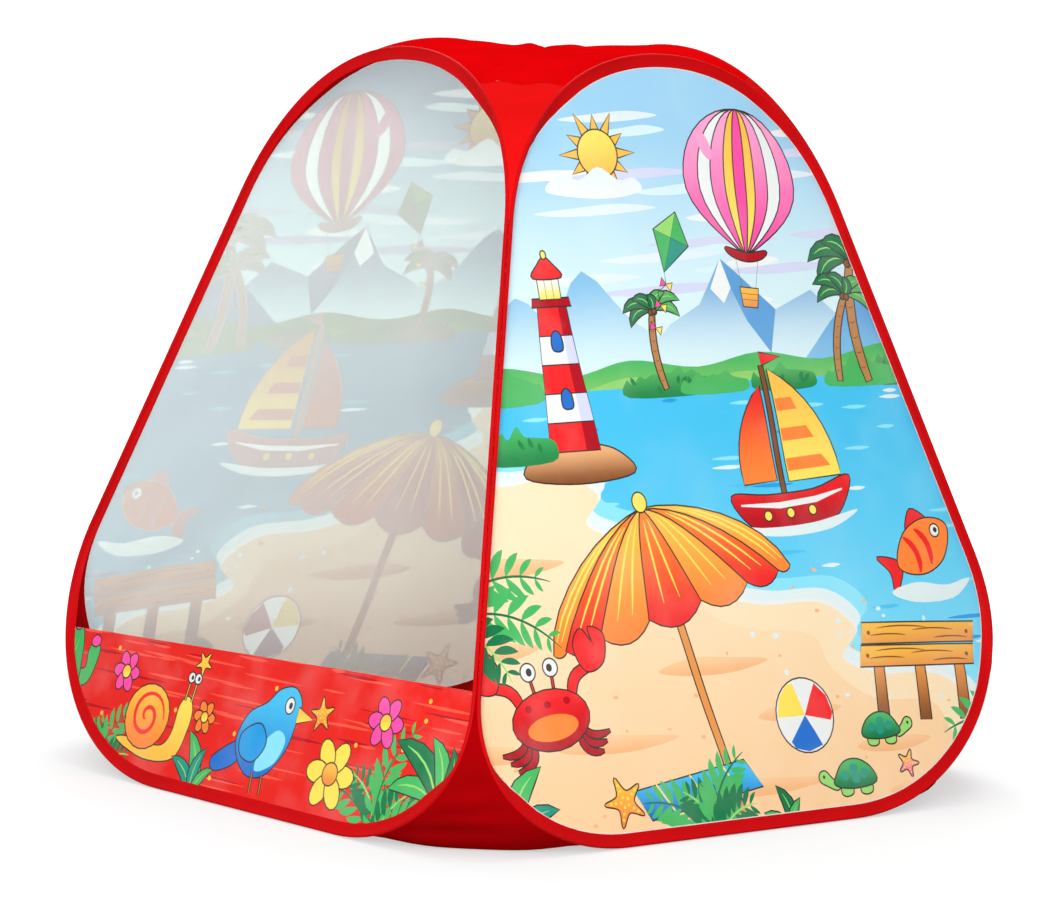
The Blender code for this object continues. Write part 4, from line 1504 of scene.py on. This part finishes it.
    def motifs(self) -> None:
        """Everything large in the air, on the water and on the sand."""
        s = self.whole
        self.place((sun, (-108, 806), 0.74))
        s.patch([(-190, 762), (-170, 782), (-140, 776), (-112, 790), (-84, 774), (-60, 776), (-52, 760),
                 (-110, 752)], Ink.WHITE, Ink.CLOUD)
        self.place((balloon, (104, 756), 1.18, -6), (kite, (-20, 700), 0.78, -24), (boat, (96, 396), 1.5, 3))
        s.patch([(4, 360), (50, 352), (130, 354), (206, 366), (160, 346), (90, 340), (30, 346)], Ink.FOAM)
        self.place((fish, (300, 312), 1.42, 24))
        s.patch([(236, 262), (280, 272), (330, 266), (372, 272), (340, 250), (276, 248)], Ink.FOAM)
        self.place((parasol, (-104, 262), 1.62, 12), (towel,), (crab, (-312, 160), 1.5, 6),
                   (board, (262, 176), 1.15, -4), (beach_ball, (66, 128), 1.45), (turtle, (182, 96), 0.78),
                   (turtle, (128, 42), 0.86, 0, True), (starfish, (-226, 52), 1.0, 20))
        starfish(self.at((216, 58), 0.55, 50), Ink.PINK)

    def foliage(self) -> None:
        """Ferns and broad leaves round the lower edge."""
        fern(self.at((-446, 270), 1.25), 136, (14, 42, 70, -12, -38))
        broad_plant(self.at((-446, 330)), 84, (0, 34, 66, -30), Ink.LEAF, Ink.TEAL)
        fern(self.at((446, 60), 1.3), 128, (170, 146, 120, 96, 192))
        broad_plant(self.at((410, 20)), 92, (150, 120, 90, 176), Ink.TEAL, Ink.LEAF)
        fern(self.at((-96, -12), 1.15), 104, (150, 122, 92, 62, 34))
        broad_plant(self.at((20, -14)), 66, (140, 105, 70, 40), Ink.LEAF, Ink.DARK_LEAF)
        broad_plant(self.at((-396, 20)), 100, (24, 56, 88, 118), Ink.TEAL, Ink.LEAF)

    def build(self) -> Picture:
        """Paints the whole picture from back to front."""
        for layer in (self.sky, self.water, self.far_bank, self.motifs, self.foliage):
            layer()
        return self.picture


class SkirtPrint(Print):
    """The red strip under the doorway."""

    def __init__(self) -> None:
        """Starts from plain red."""
        super().__init__(Ink.SKIRT.fill())

    def build(self) -> Picture:
        """Paints the whole picture from back to front."""
        s = self.whole
        chance = np.random.default_rng(4)
        for number in range(120):
            place = chance.uniform(-450, 440), chance.uniform(6, 205)
            long, high = chance.uniform(12, 62), chance.uniform(0.8, 2.2)
            paint = (Ink.STREAK, Ink.STREAK, Ink.DARK_RED)[number % 3]
            s.streak(place, long, ((-1, 0), (0, high), (1, 0.8), (0, -high)), paint, None, 3)
        for _ in range(24):
            s.dot((chance.uniform(-420, 400), chance.uniform(20, 185)), (3.0, 3.0), Ink.GOLD)
        fern(self.at((-250, -6), 0.85), 130, (150, 118, 88, 58, 30))
        self.place((cactus, (-348, 88), 1.2, 4), (snail, (-160, 76), 1.3))
        flower(self.at((-232, 128), 0.95), Ink.PINK)
        broad_plant(self.at((-52, 0)), 82, (140, 110, 80, 50), Ink.TEAL, Ink.LEAF)
        flower(self.at((-60, 96), 0.75), Ink.ORANGE)
        bird(self.at((58, 88), 1.3))
        fern(self.at((300, 0), 1.0), 150, (160, 132, 104, 76, 48, 20))
        broad_plant(self.at((392, 60)), 110, (176, 146, 116, 90), Ink.LEAF, Ink.DARK_LEAF)
        flower(self.at((196, 66), 1.6), Ink.YELLOW, Ink.ORANGE)
        flower(self.at((272, 138), 1.15), Ink.PINK)
        starfish(self.at((156, 130), 0.7, 12))
        starfish(self.at((-86, 158), 0.5, 40), Ink.GOLD)
        return self.picture


@dataclass(frozen=True)
class TopEdge:
    """The straight line across a wall that its low cloth ends at, in metres."""

    left: float = 0.163
    right: float = 0.197
    width: float = 0.94

    def above(self, places: Array) -> Array:
        """How far above the line each place lies."""
        slope = (self.right - self.left) / self.width
        return places[:, 1] - self.left - slope * (places[:, 0] + self.width / 2)


@dataclass
class WallCloth:
    """A wall's cloth, gripped in the tape's slot all round and printed on one side."""

    sizes: HoopSizes
    outer: Material
    inner: Material
    spacing: float = 0.012
    grip: float = 0.0022
    mouth_inset: float = 0.0005
    thickness: float = 0.0003
    lattice: float = 0.011
    margin: float = 0.0008
    slack: float = 0.0009
    pucker: float = 0.00035
    dish: float = 2.4
    least_area: float = 1e-12
    surround: float = 0.01
    bare: Rgb = linear(232, 228, 224)
    cut_edge: float = 0.8

    def rings(self, wall: Wall) -> tuple[Array, Array]:
        """The cloth's edge in the slot, and its line at the slot's mouth, as (u, v, w)."""
        line = wall.hoop(self.spacing)
        edge = line.points + line.lips * (line.depths - self.grip)[:, None]
        mouth = line.points + line.lips * (line.depths + self.mouth_inset)[:, None]
        return edge[:-1], mouth[:-1]

    def surface(self, wall: Wall, places: Array) -> Array:
        """How far out of the wall's plane the cloth lies at each (u, v)."""
        middle = np.array((0.0, self.sizes.peak / 2))
        around = places - middle
        angles = np.arctan2(around[:, 1], around[:, 0])
        reach = np.linalg.norm(around, axis=1)
        tables = []
        for ring in self.rings(wall):
            offset = ring[:, :2] - middle
            turns = np.arctan2(offset[:, 1], offset[:, 0])
            order = np.argsort(turns)
            for values in (np.linalg.norm(offset, axis=1), ring[:, 2]):
                tables.append(np.interp(angles, turns[order], values[order], period=2 * math.pi))
        edge_reach, edge_out, mouth_reach, mouth_out = tables
        share = reach / mouth_reach
        beyond = np.clip((reach - mouth_reach) / (edge_reach - mouth_reach), 0, 1)
        inside = mouth_out * np.clip(share, 0, 1) ** self.dish
        waves = Ripple(wall.face.value + 11, (0.21, 0.15, 0.31, 0.11), 2).at(places)
        edge_waves = Ripple(wall.face.value + 31, (0.026, 0.017, 0.039)).at(angles * 0.4)
        near = smooth((share - 0.86) / 0.14)
        slack = self.slack * waves * (1 - smooth((share - 0.80) / 0.2))
        pucker = self.pucker * edge_waves * near * smooth((1 - share) / 0.02)
        return inside + (edge_out - mouth_out) * beyond + slack + pucker

    def lattice_in(self, outline: Array) -> Array:
        """An even lattice of points inside the cloth's edge."""
        low, high = outline.min(axis=0), outline.max(axis=0)
        across, up = (np.arange(low[axis], high[axis], self.lattice) for axis in (0, 1))
        grid = np.stack(np.meshgrid(across, up), -1).reshape(-1, 2)
        grid[:, 0] += (np.round((grid[:, 1] - low[1]) / self.lattice) % 2) * self.lattice / 2
        return grid[holds(outline, grid)]

    def triangles(self, outline: Array, lines: Sequence[Array]) -> tuple[Array, Array]:
        """A flat mesh of the cloth that lines cut.

        Args:
            outline: the cloth's edge.
            lines: closed lines that the mesh's edges follow.

        Returns:
            The points, and the triangles inside the cloth's edge, which face out of the tent.
        """
        grid = self.lattice_in(outline)
        loops = (outline, *lines)
        points = [Vector(point) for point in np.vstack((grid, *loops))]
        found = delaunay_2d_cdt(points, ring_edges(map(len, loops), len(grid)), [], 0, 1e-6, False)
        flat = np.array([tuple(point) for point in found[0]])
        faces = np.array([face for face in found[2] if len(face) == 3])
        a, b, c = (flat[faces[:, corner]] for corner in range(3))
        areas = ((b - a)[:, 0] * (c - a)[:, 1] - (b - a)[:, 1] * (c - a)[:, 0]) / 2
        kept = holds(outline, flat[faces].mean(axis=1)) & (np.abs(areas) > self.least_area)
        faces, areas = faces[kept], areas[kept]
        faces[areas < 0] = faces[areas < 0][:, ::-1]
        used, faces = np.unique(faces, return_inverse=True)
        return flat[used], faces.reshape(-1, 3)

    def colour(self, made: Object, picture: Picture, corners: Array, edge: Array) -> None:
        """Lays the print's colours on both faces of a cloth.

        Args:
            made: the cloth.
            picture: the print.
            corners: the corners of each outer triangle, as (u, v).
            edge: the line beyond which the cloth is bare.
        """
        middles = corners.mean(axis=1)
        seen = picture.paint(middles / MM, corners / MM)
        seen[~holds(edge, middles)] = self.bare
        both = np.concatenate((seen, seen[:, ::-1])).reshape(-1, 3)
        values = np.ones((len(made.data.loops), 4))
        values[:, :3] = self.cut_edge
        values[:len(both), :3] = both
        layer = made.data.color_attributes.new(PRINT, "FLOAT_COLOR", "CORNER")
        layer.data.foreach_set("color", values.ravel().astype(np.float32))
        for finish in (self.outer, self.inner):
            made.data.materials.append(finish)
        sides = np.ones(len(made.data.polygons), np.int32)
        sides[:len(corners)] = 0
        made.data.polygons.foreach_set("material_index", sides)

    def build(self, wall: Wall, name: str, picture: Picture, node: str, slot: str,
              top: TopEdge | None = None) -> None:
        """One printed cloth.

        Args:
            wall: the wall it is in.
            name: the piece's name.
            picture: its print, which shows through on its inner side.
            node: the solid that it replaces.
            slot: not used.
            top: a line above which nothing is left, for a low skirt.
        """
        outline, mouth = (ring[:, :2] for ring in self.rings(wall))
        fences = [mouth, grown(mouth, self.margin if top else -self.margin)]
        if top:
            outline = clipped(outline, top.above)
            fences = [clipped(fence, top.above) for fence in fences]
        low, high = outline.min(axis=0) - self.surround, outline.max(axis=0) + self.surround
        motifs = [divided(loop, self.lattice) for loop in (shape.loop * MM for shape in picture.shapes)
                  if np.all(loop.max(axis=0) > low) and np.all(loop.min(axis=0) < high)]
        flat, faces = self.triangles(outline, (*fences, *motifs))
        points = wall.places(np.column_stack((flat, self.surface(wall, flat))))
        made = thin_sheet(name, points, faces.tolist(), flat, self.thickness)
        self.colour(made, picture, flat[faces], fences[1])
        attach(made, wall.face.body)
        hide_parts(node)
        x, y = outline[:, 0], outline[:, 1]
        area = float(abs(np.sum(x * np.roll(y, -1) - np.roll(x, -1) * y)) / 2)


@dataclass(frozen=True)
class Cut:
    """One piece of plain red cloth: its shape, what it stands for and how it is worn."""

    name: str
    node: str
    slot: str
    finish: Material
    grid: Array
    outward: Array
    held: str = "stretched"


@dataclass
class CornerCloth:
    """The roof, the floor and the gussets that join the four walls."""

    walls: dict[Face, Wall]
    finishes: Finishes
    roof_level: float = 0.881
    roof_puff: float = 0.004
    roof_fold: float = 0.007
    near_fold_share: float = 0.15
    far_side: float = 0.30
    roof_wave: float = 0.0010
    shoulder: float = 0.625
    shoulder_fade: float = 0.10
    crease_gap: float = 0.0004
    tuck: float = 0.0006
    sag: float = 0.010
    full_sag_width: float = 0.230
    full_wave_width: float = 0.10
    roof_gusset_wave: float = 0.0024
    hems: tuple[float, float] = (0.002, 0.005)
    point_width: float = 0.0042
    front_bulge: float = 0.010
    base_start: float = 0.20
    base_fade: float = 0.14
    base_gusset_wave: float = 0.0030
    base_level: float = 0.0013
    floor_inset: float = 0.0016
    floor_level: float = 0.00035
    floor_wave: float = 0.0012
    thickness: float = 0.0003
    keep: float = 0.06
    blend_half: float = 0.025
    least_share: float = 0.31
    least_room: float = 1.02
    most_share: float = 0.999

    def outward(self, wall: Wall) -> Array:
        """The level direction out of the corner at a wall's right side."""
        turn = wall.turn - math.pi / 4
        return np.array((math.cos(turn), math.sin(turn), 0.0))

    def edges(self, wall: Wall, curve: Curve, shares: Array) -> tuple[Array, Array]:
        """The two edges that face each other over the corner at a wall's right side."""
        following = self.walls[wall.face.following]
        return (wall.back_edge(curve, 1, shares, self.tuck),
                following.back_edge(curve, -1, shares, self.tuck))

    def width(self, wall: Wall, curve: Curve, shares: Array) -> Array:
        """How far apart the two facing edges stand."""
        first, second = self.edges(wall, curve, shares)
        return np.linalg.norm(second - first, axis=1)

    def point_share(self, wall: Wall, curve: Curve, low: float, high: float) -> float:
        """The share of the curve at which the gusset comes to its point."""
        for _ in range(40):
            middle = (low + high) / 2
            if self.width(wall, curve, np.array((middle,)))[0] < self.point_width:
                low = middle
            else:
                high = middle
        return high

    def crease(self, wall: Wall, shares: Array, across: Array) -> Array:
        """Points across the corner between two arches: shares down, columns across."""
        first, second = (edge[:, None] for edge in self.edges(wall, Curve.ARCH, shares))
        wide = np.linalg.norm(second - first, axis=2, keepdims=True) / self.full_sag_width
        hollow = self.sag * np.clip(wide, 0, 1) * (4 * across * (1 - across))[None, :, None]
        return first + (second - first) * across[None, :, None] - self.outward(wall) * hollow

    def puff(self, across: Array) -> Array:
        """The roof's rise along a crease."""
        return self.roof_puff * np.sin(2 * math.pi * across) ** 2

    def roof_gusset(self, wall: Wall, low: float, high: float) -> Array:
        """The grid of a roof gusset between two shares of its width."""
        start = self.point_share(wall, Curve.ARCH, 0.0, self.shoulder)
        shares = np.linspace(start, self.shoulder, 44)
        across = np.linspace(low, high, 13)
        out = self.outward(wall)
        grid = self.crease(wall, shares, across)
        near = smooth((shares - self.shoulder + self.shoulder_fade) / self.shoulder_fade)
        grid[:, :, 2] += near[:, None] * (self.puff(across) - self.crease_gap)[None, :]
        fold = Ripple(wall.face.value + 51, (0.05, 0.034, 0.08), 2)
        waves = fold.at(np.stack(np.meshgrid(across * 0.2, shares * 0.34), -1))
        away = smooth((self.shoulder - shares) / self.shoulder_fade)
        held = np.sin(math.pi * across)[None, :] * away[:, None]
        wide = np.clip(self.width(wall, Curve.ARCH, shares) / self.full_wave_width, 0, 1)[:, None]
        grid = grid + out * (waves * held * wide * self.roof_gusset_wave)[:, :, None]
        return np.concatenate((grid, np.array([grid[-1] - out * reach for reach in self.hems])))

    def base_gusset(self, wall: Wall, low: float, high: float) -> Array:
        """The grid of a base gusset between two shares of its width."""
        end = self.point_share(wall, Curve.CORNER, 1.0, self.base_start)
        return self.base_rows(wall, np.linspace(self.base_start, end, 40), np.linspace(low, high, 17))

    def base_rows(self, wall: Wall, shares: Array, across: Array) -> Array:
        """Rows across a base gusset, which stands out in the middle."""
        first, second = (edge[:, None] for edge in self.edges(wall, Curve.CORNER, shares))
        drop = ((1 - shares) / (1 - self.base_start)) ** 2
        arch = (4 * across * (1 - across))[None, :]
        bulge = self.front_bulge if wall.face is Face.FRONT else 0.0
        rows = first + (second - first) * across[None, :, None]
        rows = rows + self.outward(wall) * (bulge * drop[:, None] * arch)[:, :, None]
        fold = Ripple(wall.face.value + 71, (0.06, 0.041, 0.10), 2)
        waves = fold.at(np.stack(np.meshgrid(across * 0.25, shares * 0.3), -1))
        held = np.sin(math.pi * across)[None, :] * drop[:, None] ** 0.5
        rows = rows + self.outward(wall) * (waves * held * self.base_gusset_wave)[:, :, None]
        near = smooth((self.base_start + self.base_fade - shares) / self.base_fade)
        low = near[:, None] * smooth(arch)
        rows[:, :, 2] = rows[:, :, 2] * (1 - low) + low * self.base_level
        return rows

    def roof_quarter(self, wall: Wall) -> Array:
        """The grid of the roof's quarter over one wall: rings from the rim to the middle."""
        half = np.linspace(0.5, 1.0, 13)
        creases = []
        for face, across in ((wall.face.preceding, half), (wall.face, 1.0 - half[::-1])):
            crease = self.crease(self.walls[face], np.array((self.shoulder,)), across)[0]
            crease[:, 2] += self.puff(across)
            creases.append(crease)
        shares = np.linspace(self.shoulder, 1.0, 20)
        rise = wall.back_edge(Curve.ARCH, -1, shares, self.tuck)
        fall = wall.back_edge(Curve.ARCH, 1, shares[::-1], self.tuck)
        rim = np.vstack((creases[0], rise[1:], fall[1:], creases[1][1:]))
        rings = np.linspace(1.0, 0.0, 30) ** 1.15
        around = np.arctan2(rim[:, 1], rim[:, 0])
        across = (around / (math.pi / 2) - 0.5 + 8.5) % 1.0 - 0.5
        far = np.where(rim @ np.array((-1.0, 1.0, 0.0)) > self.far_side, 1.0, self.near_fold_share)
        ridges = (np.exp(-((np.abs(across) - 0.14) / 0.08) ** 2) - 0.5 * np.exp(-(across / 0.07) ** 2)) * far
        grid = []
        for share in rings:
            level = self.roof_level + (rim[:, 2] - self.roof_level) * share**2
            level = level + self.roof_fold * ridges * math.sin(math.pi * share) ** 1.5
            grid.append(np.column_stack((rim[:, :2] * share, level)))
        grid = np.array(grid)
        held = smooth((1 - rings) / 0.3)[:, None]
        grid[:, :, 2] += Ripple(5, (0.10, 0.07, 0.16), 2).at(grid[:, :, :2]) * held * self.roof_wave
        return grid

    def floor_quarter(self, wall: Wall) -> Array:
        """The grid of the floor's quarter at one wall."""
        start = np.array((self.base_start,))
        half = np.linspace(0.5, 1.0, 9)
        left = self.base_rows(self.walls[wall.face.preceding], start, half)[0]
        right = self.base_rows(wall, start, 1.0 - half[::-1])[0]
        shares = np.linspace(self.base_start, 0.0, 7)
        sides = [wall.back_edge(Curve.CORNER, side, shares, self.tuck) for side in (-1, 1)]
        along = np.linspace(-wall.foot(-1), wall.foot(1), 17)
        low = wall.places(np.column_stack((along, np.zeros(17), np.full(17, -self.floor_inset))))
        rim = np.vstack((left[:-1], sides[0], low, sides[1][::-1], right[1:]))
        rise = np.clip(rim[:, 2] - self.floor_level, 0, None)
        rings = np.concatenate((np.linspace(1.0, 0.9, 6), np.linspace(0.87, 0.0, 18)))
        grid = np.array([rim * share for share in rings])
        waves = Ripple(9, (0.13, 0.09, 0.21, 0.05), 2).at(grid[:, :, :2])
        held = smooth((1 - rings) / 0.12)[:, None]
        lift = (waves + 1.2) * held * self.floor_wave
        grid[:, :, 2] = self.floor_level + rise * (1 - held) + np.clip(lift, 0, None)
        return grid

    def flat_size(self, grid: Array, area: float) -> tuple[float, float]:
        """The width and height of a piece, as lengths along its surface.

        A base gusset's height isn't a measured one.

        Args:
            grid: the piece's points.
            area: its area.

        Returns:
            The width and the height.
        """
        width, height = (float(size) for size in np.ptp(flat_grid(grid), axis=0))
        return width, min(max(height, area / width * self.least_room), area / width / self.least_share)

    def sew(self, cut: Cut, carrier: Wall | None = None) -> Object:
        """Makes one piece of cloth, which rides on its carrier's body if it has one."""
        grid = cut.grid
        row, column = grid.shape[0] // 2, grid.shape[1] // 2
        sides = grid[row, column + 1] - grid[row, column], grid[row - 1, column] - grid[row, column]
        faces = grid_faces(*grid.shape[:2], flip=np.cross(*sides) @ cut.outward > 0)
        points, flat, faces = welded(grid.reshape(-1, 3), flat_grid(grid), faces)
        made = thin_sheet(cut.name, points, faces, flat, self.thickness)
        made.data.materials.append(cut.finish)
        if carrier:
            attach(made, carrier.face.body)
            anchor = carrier.places(np.array((0.0, 0.4, 0.0)))
            tuple(carrier.directions(UP))
            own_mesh(made)
        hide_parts(cut.node)
        area = sum(face.area for face in made.data.polygons) / 2
        width, height = self.flat_size(grid, area)
        min(area, width * height * self.most_share)
        LOG.info("%s: cut %.3f x %.3f, area %.4f", made.name, width, height, area)
        return made

    def gusset(self, wall: Wall, kind: str, slot: str, finish: Material,
               shape: Callable[[Wall, float, float], Array]) -> None:
        """One corner's gusset: whole between the two walls that meet in front, else in halves.

        Args:
            wall: the wall to its left.
            kind: "roof" or "base".
            slot: its material slot.
            finish: its material.
            shape: makes its grid between two shares of its width.
        """
        following = self.walls[wall.face.following]
        node = f"{wall.face.word}_{following.face.word}_{kind}_gusset"
        out = self.outward(wall)
        if wall.face is Face.FRONT:
            made = self.sew(Cut(f"{node}_cloth", node, slot, finish, shape(wall, 0.0, 1.0), out))
            middle = wall.places(np.array((wall.sizes.half_base, 0.0, 0.0)))
            across = np.array((1.0, 1.0, 0.0)) / math.sqrt(2) * self.blend_half
            tuple(middle + across)
            tuple(middle - across)
            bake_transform(made)
            return
        for half, low, high, carrier in (("first", 0.0, 0.5, wall), ("second", 0.5, 1.0, following)):
            self.sew(Cut(f"{node}_{half}_half", node, slot, finish, shape(wall, low, high), out), carrier)

    def build(self, wall: Wall) -> None:
        """What is sewn in at one wall and at the corner on its right."""
        looks = self.finishes
        self.gusset(wall, "roof", "red_roof", looks.satin, self.roof_gusset)
        # The base gussets and floor take the deep red, which is partly painted shade.
        self.gusset(wall, "base", "red_floor", looks.deep, self.base_gusset)
        word = wall.face.word
        # The roof quarter takes the red that is painted darker for the shade on the roof's top.
        self.sew(Cut(f"roof_{word}_quarter", "roof_crown", "red_roof", looks.crown,
                     self.roof_quarter(wall), UP), wall)
        self.sew(Cut(f"floor_{word}_quarter", "floor_sheet", "red_floor", looks.deep,
                     self.floor_quarter(wall), UP, "laid"), wall)


@dataclass(frozen=True)
class Lamp:
    """A soft square lamp: where it stands, its width and its watts."""

    name: str
    place: tuple[float, float, float]
    size: float
    power: float


@dataclass(frozen=True)
class Studio:
    """The pale floor, the lamps and the camera."""

    azimuth: float = math.radians(50.419)
    elevation: float = math.radians(6.661)
    roll: float = math.radians(1.520)
    distance: float = 6.778
    look_at: tuple[float, float, float] = (0.0, 0.0, 0.3814)
    focal_pixels: float = 5567.9
    image_width: float = 1043.0
    image_height: float = 910.0
    middle: Point = (532.39, 459.29)
    sensor_width: float = 36.0
    world_strength: float = 0.74
    floor_half: float = 30.0
    floor_drop: float = 0.0006
    floor_colour: Rgb = (0.37, 0.38, 0.38)
    near_glow: Rgb = (0.55, 0.55, 0.55)
    lamps: tuple[Lamp, ...] = (Lamp("key", (3.2, -3.4, 1.3), 2.4, 200.0),
                               Lamp("top", (0.4, -0.4, 5.0), 3.0, 40.0),
                               Lamp("back", (-2.9, 2.2, 3.8), 3.6, 170.0))

    def camera(self) -> None:
        """Makes the camera at the photograph's viewing angle."""
        level = math.cos(self.elevation)
        back = Vector((math.sin(self.azimuth) * level, -math.cos(self.azimuth) * level,
                       math.sin(self.elevation)))
        right = (-back).cross(Vector(UP)).normalized()
        up = right.cross(-back)
        c, s = math.cos(self.roll), math.sin(self.roll)
        right, up = right * c + up * s, up * c - right * s
        data = bpy.data.cameras.new("Camera")
        data.sensor_width = self.sensor_width
        data.lens = data.sensor_width * self.focal_pixels / self.image_width
        data.shift_x = (self.image_width / 2 - self.middle[0]) / self.image_width
        data.shift_y = (self.middle[1] - self.image_height / 2) / self.image_width
        data.clip_end = 100.0
        made = linked("Camera", data)
        turn = Matrix((right, up, back)).transposed()
        place = Vector(self.look_at) + back * self.distance
        made.matrix_world = Matrix.Translation(place) @ turn.to_4x4()
        bpy.context.scene.camera = made

    def light(self, lamp: Lamp) -> None:
        """Hangs up one lamp, which looks at the tent."""
        data = bpy.data.lights.new(lamp.name, "AREA")
        data.size = lamp.size
        data.energy = lamp.power
        made = linked(lamp.name, data)
        way = Vector(self.look_at) - Vector(lamp.place)
        made.rotation_euler = way.to_track_quat("-Z", "Y").to_euler()
        made.location = lamp.place

    def world(self) -> None:
        """An even pale surround that the camera, gloss and glass see as white."""
        world = bpy.data.worlds.new("Studio")
        world.use_nodes = True
        bpy.context.scene.world = world
        tree = Tree(world.node_tree)
        strength = tree.node("ShaderNodeMix", {}, {0: tree.direct_view(), 2: self.world_strength, 3: 1.0})
        background = tree.nodes["Background"].inputs
        tree.put(background["Color"], WHITE)
        tree.put(background["Strength"], strength)

    def floor(self) -> None:
        """A pale floor that keeps the tent's shadow."""
        corners = np.array(((-1, -1, 0), (1, -1, 0), (1, 1, 0), (-1, 1, 0))) * self.floor_half
        floor = mesh_object("studio_floor", corners, [(0, 1, 2, 3)])
        floor.location.z = -self.floor_drop
        shader = Shader("studio floor")
        shader.surface(Base_Color=self.floor_colour, Roughness=0.9, Specular_IOR_Level=0.0)
        length = shader.node("ShaderNodeVectorMath", {"operation": "LENGTH"}, {0: shader.coordinates()})
        far = ((length.part("Value") - 0.9) * 0.8).clamped()
        glow = shader.mix(shader.direct_view(), BLACK, shader.mix(far, self.near_glow, WHITE))
        shader.surface(Emission_Color=glow, Emission_Strength=1.0)
        floor.data.materials.append(shader.material)

    def build(self) -> None:
        """Sets everything up."""
        bpy.context.scene.view_settings.view_transform = "Standard"
        self.camera()
        self.world()
        self.floor()
        for lamp in self.lamps:
            self.light(lamp)
        LOG.info("studio with %d lamps", len(self.lamps))


class Tent:
    """The whole tent: its finishes, its four walls and what joins them."""

    def __init__(self, nodes: dict[str, Object]) -> None:
        """Args: nodes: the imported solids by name."""
        self.sizes = HoopSizes()
        self.walls = {face: Wall(face, self.sizes) for face in Face}
        self.finishes = Finishes()
        self.finishes.dress_solids(nodes)

    def build_walls(self) -> None:
        """Each wall's tape, its stitches and its cloth."""
        tape = BindingTape(self.sizes, self.finishes.tape, StitchTree(self.finishes.thread))
        cloth = WallCloth(self.sizes, self.finishes.print, self.finishes.inside)
        shore, skirt = ShorePrint().build(), SkirtPrint().build()
        LOG.info("%d shapes on the walls, %d on the skirt", len(shore.shapes), len(skirt.shapes))
        for face, wall in self.walls.items():
            tape.build(wall)
            if face is Face.FRONT:
                cloth.build(wall, "door_skirt_cloth", skirt, "door_skirt", "printed_skirt", TopEdge())
            else:
                cloth.build(wall, f"{face.word}_wall_print", shore, f"{face.word}_wall_cloth",
                            "printed_wall")

    def build(self) -> None:
        """Everything that shows."""
        self.build_walls()
        corners = CornerCloth(self.walls, self.finishes)
        for wall in self.walls.values():
            corners.build(wall)


def main() -> None:
    """Builds the looks of the tent; the tapes and plain cloths log their sizes."""
    logging.basicConfig(level=logging.INFO, format="%(message)s")
    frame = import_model()
    Studio().build()
    Tent(frame["nodes"]).build()


if __name__ == "__main__":
    main()
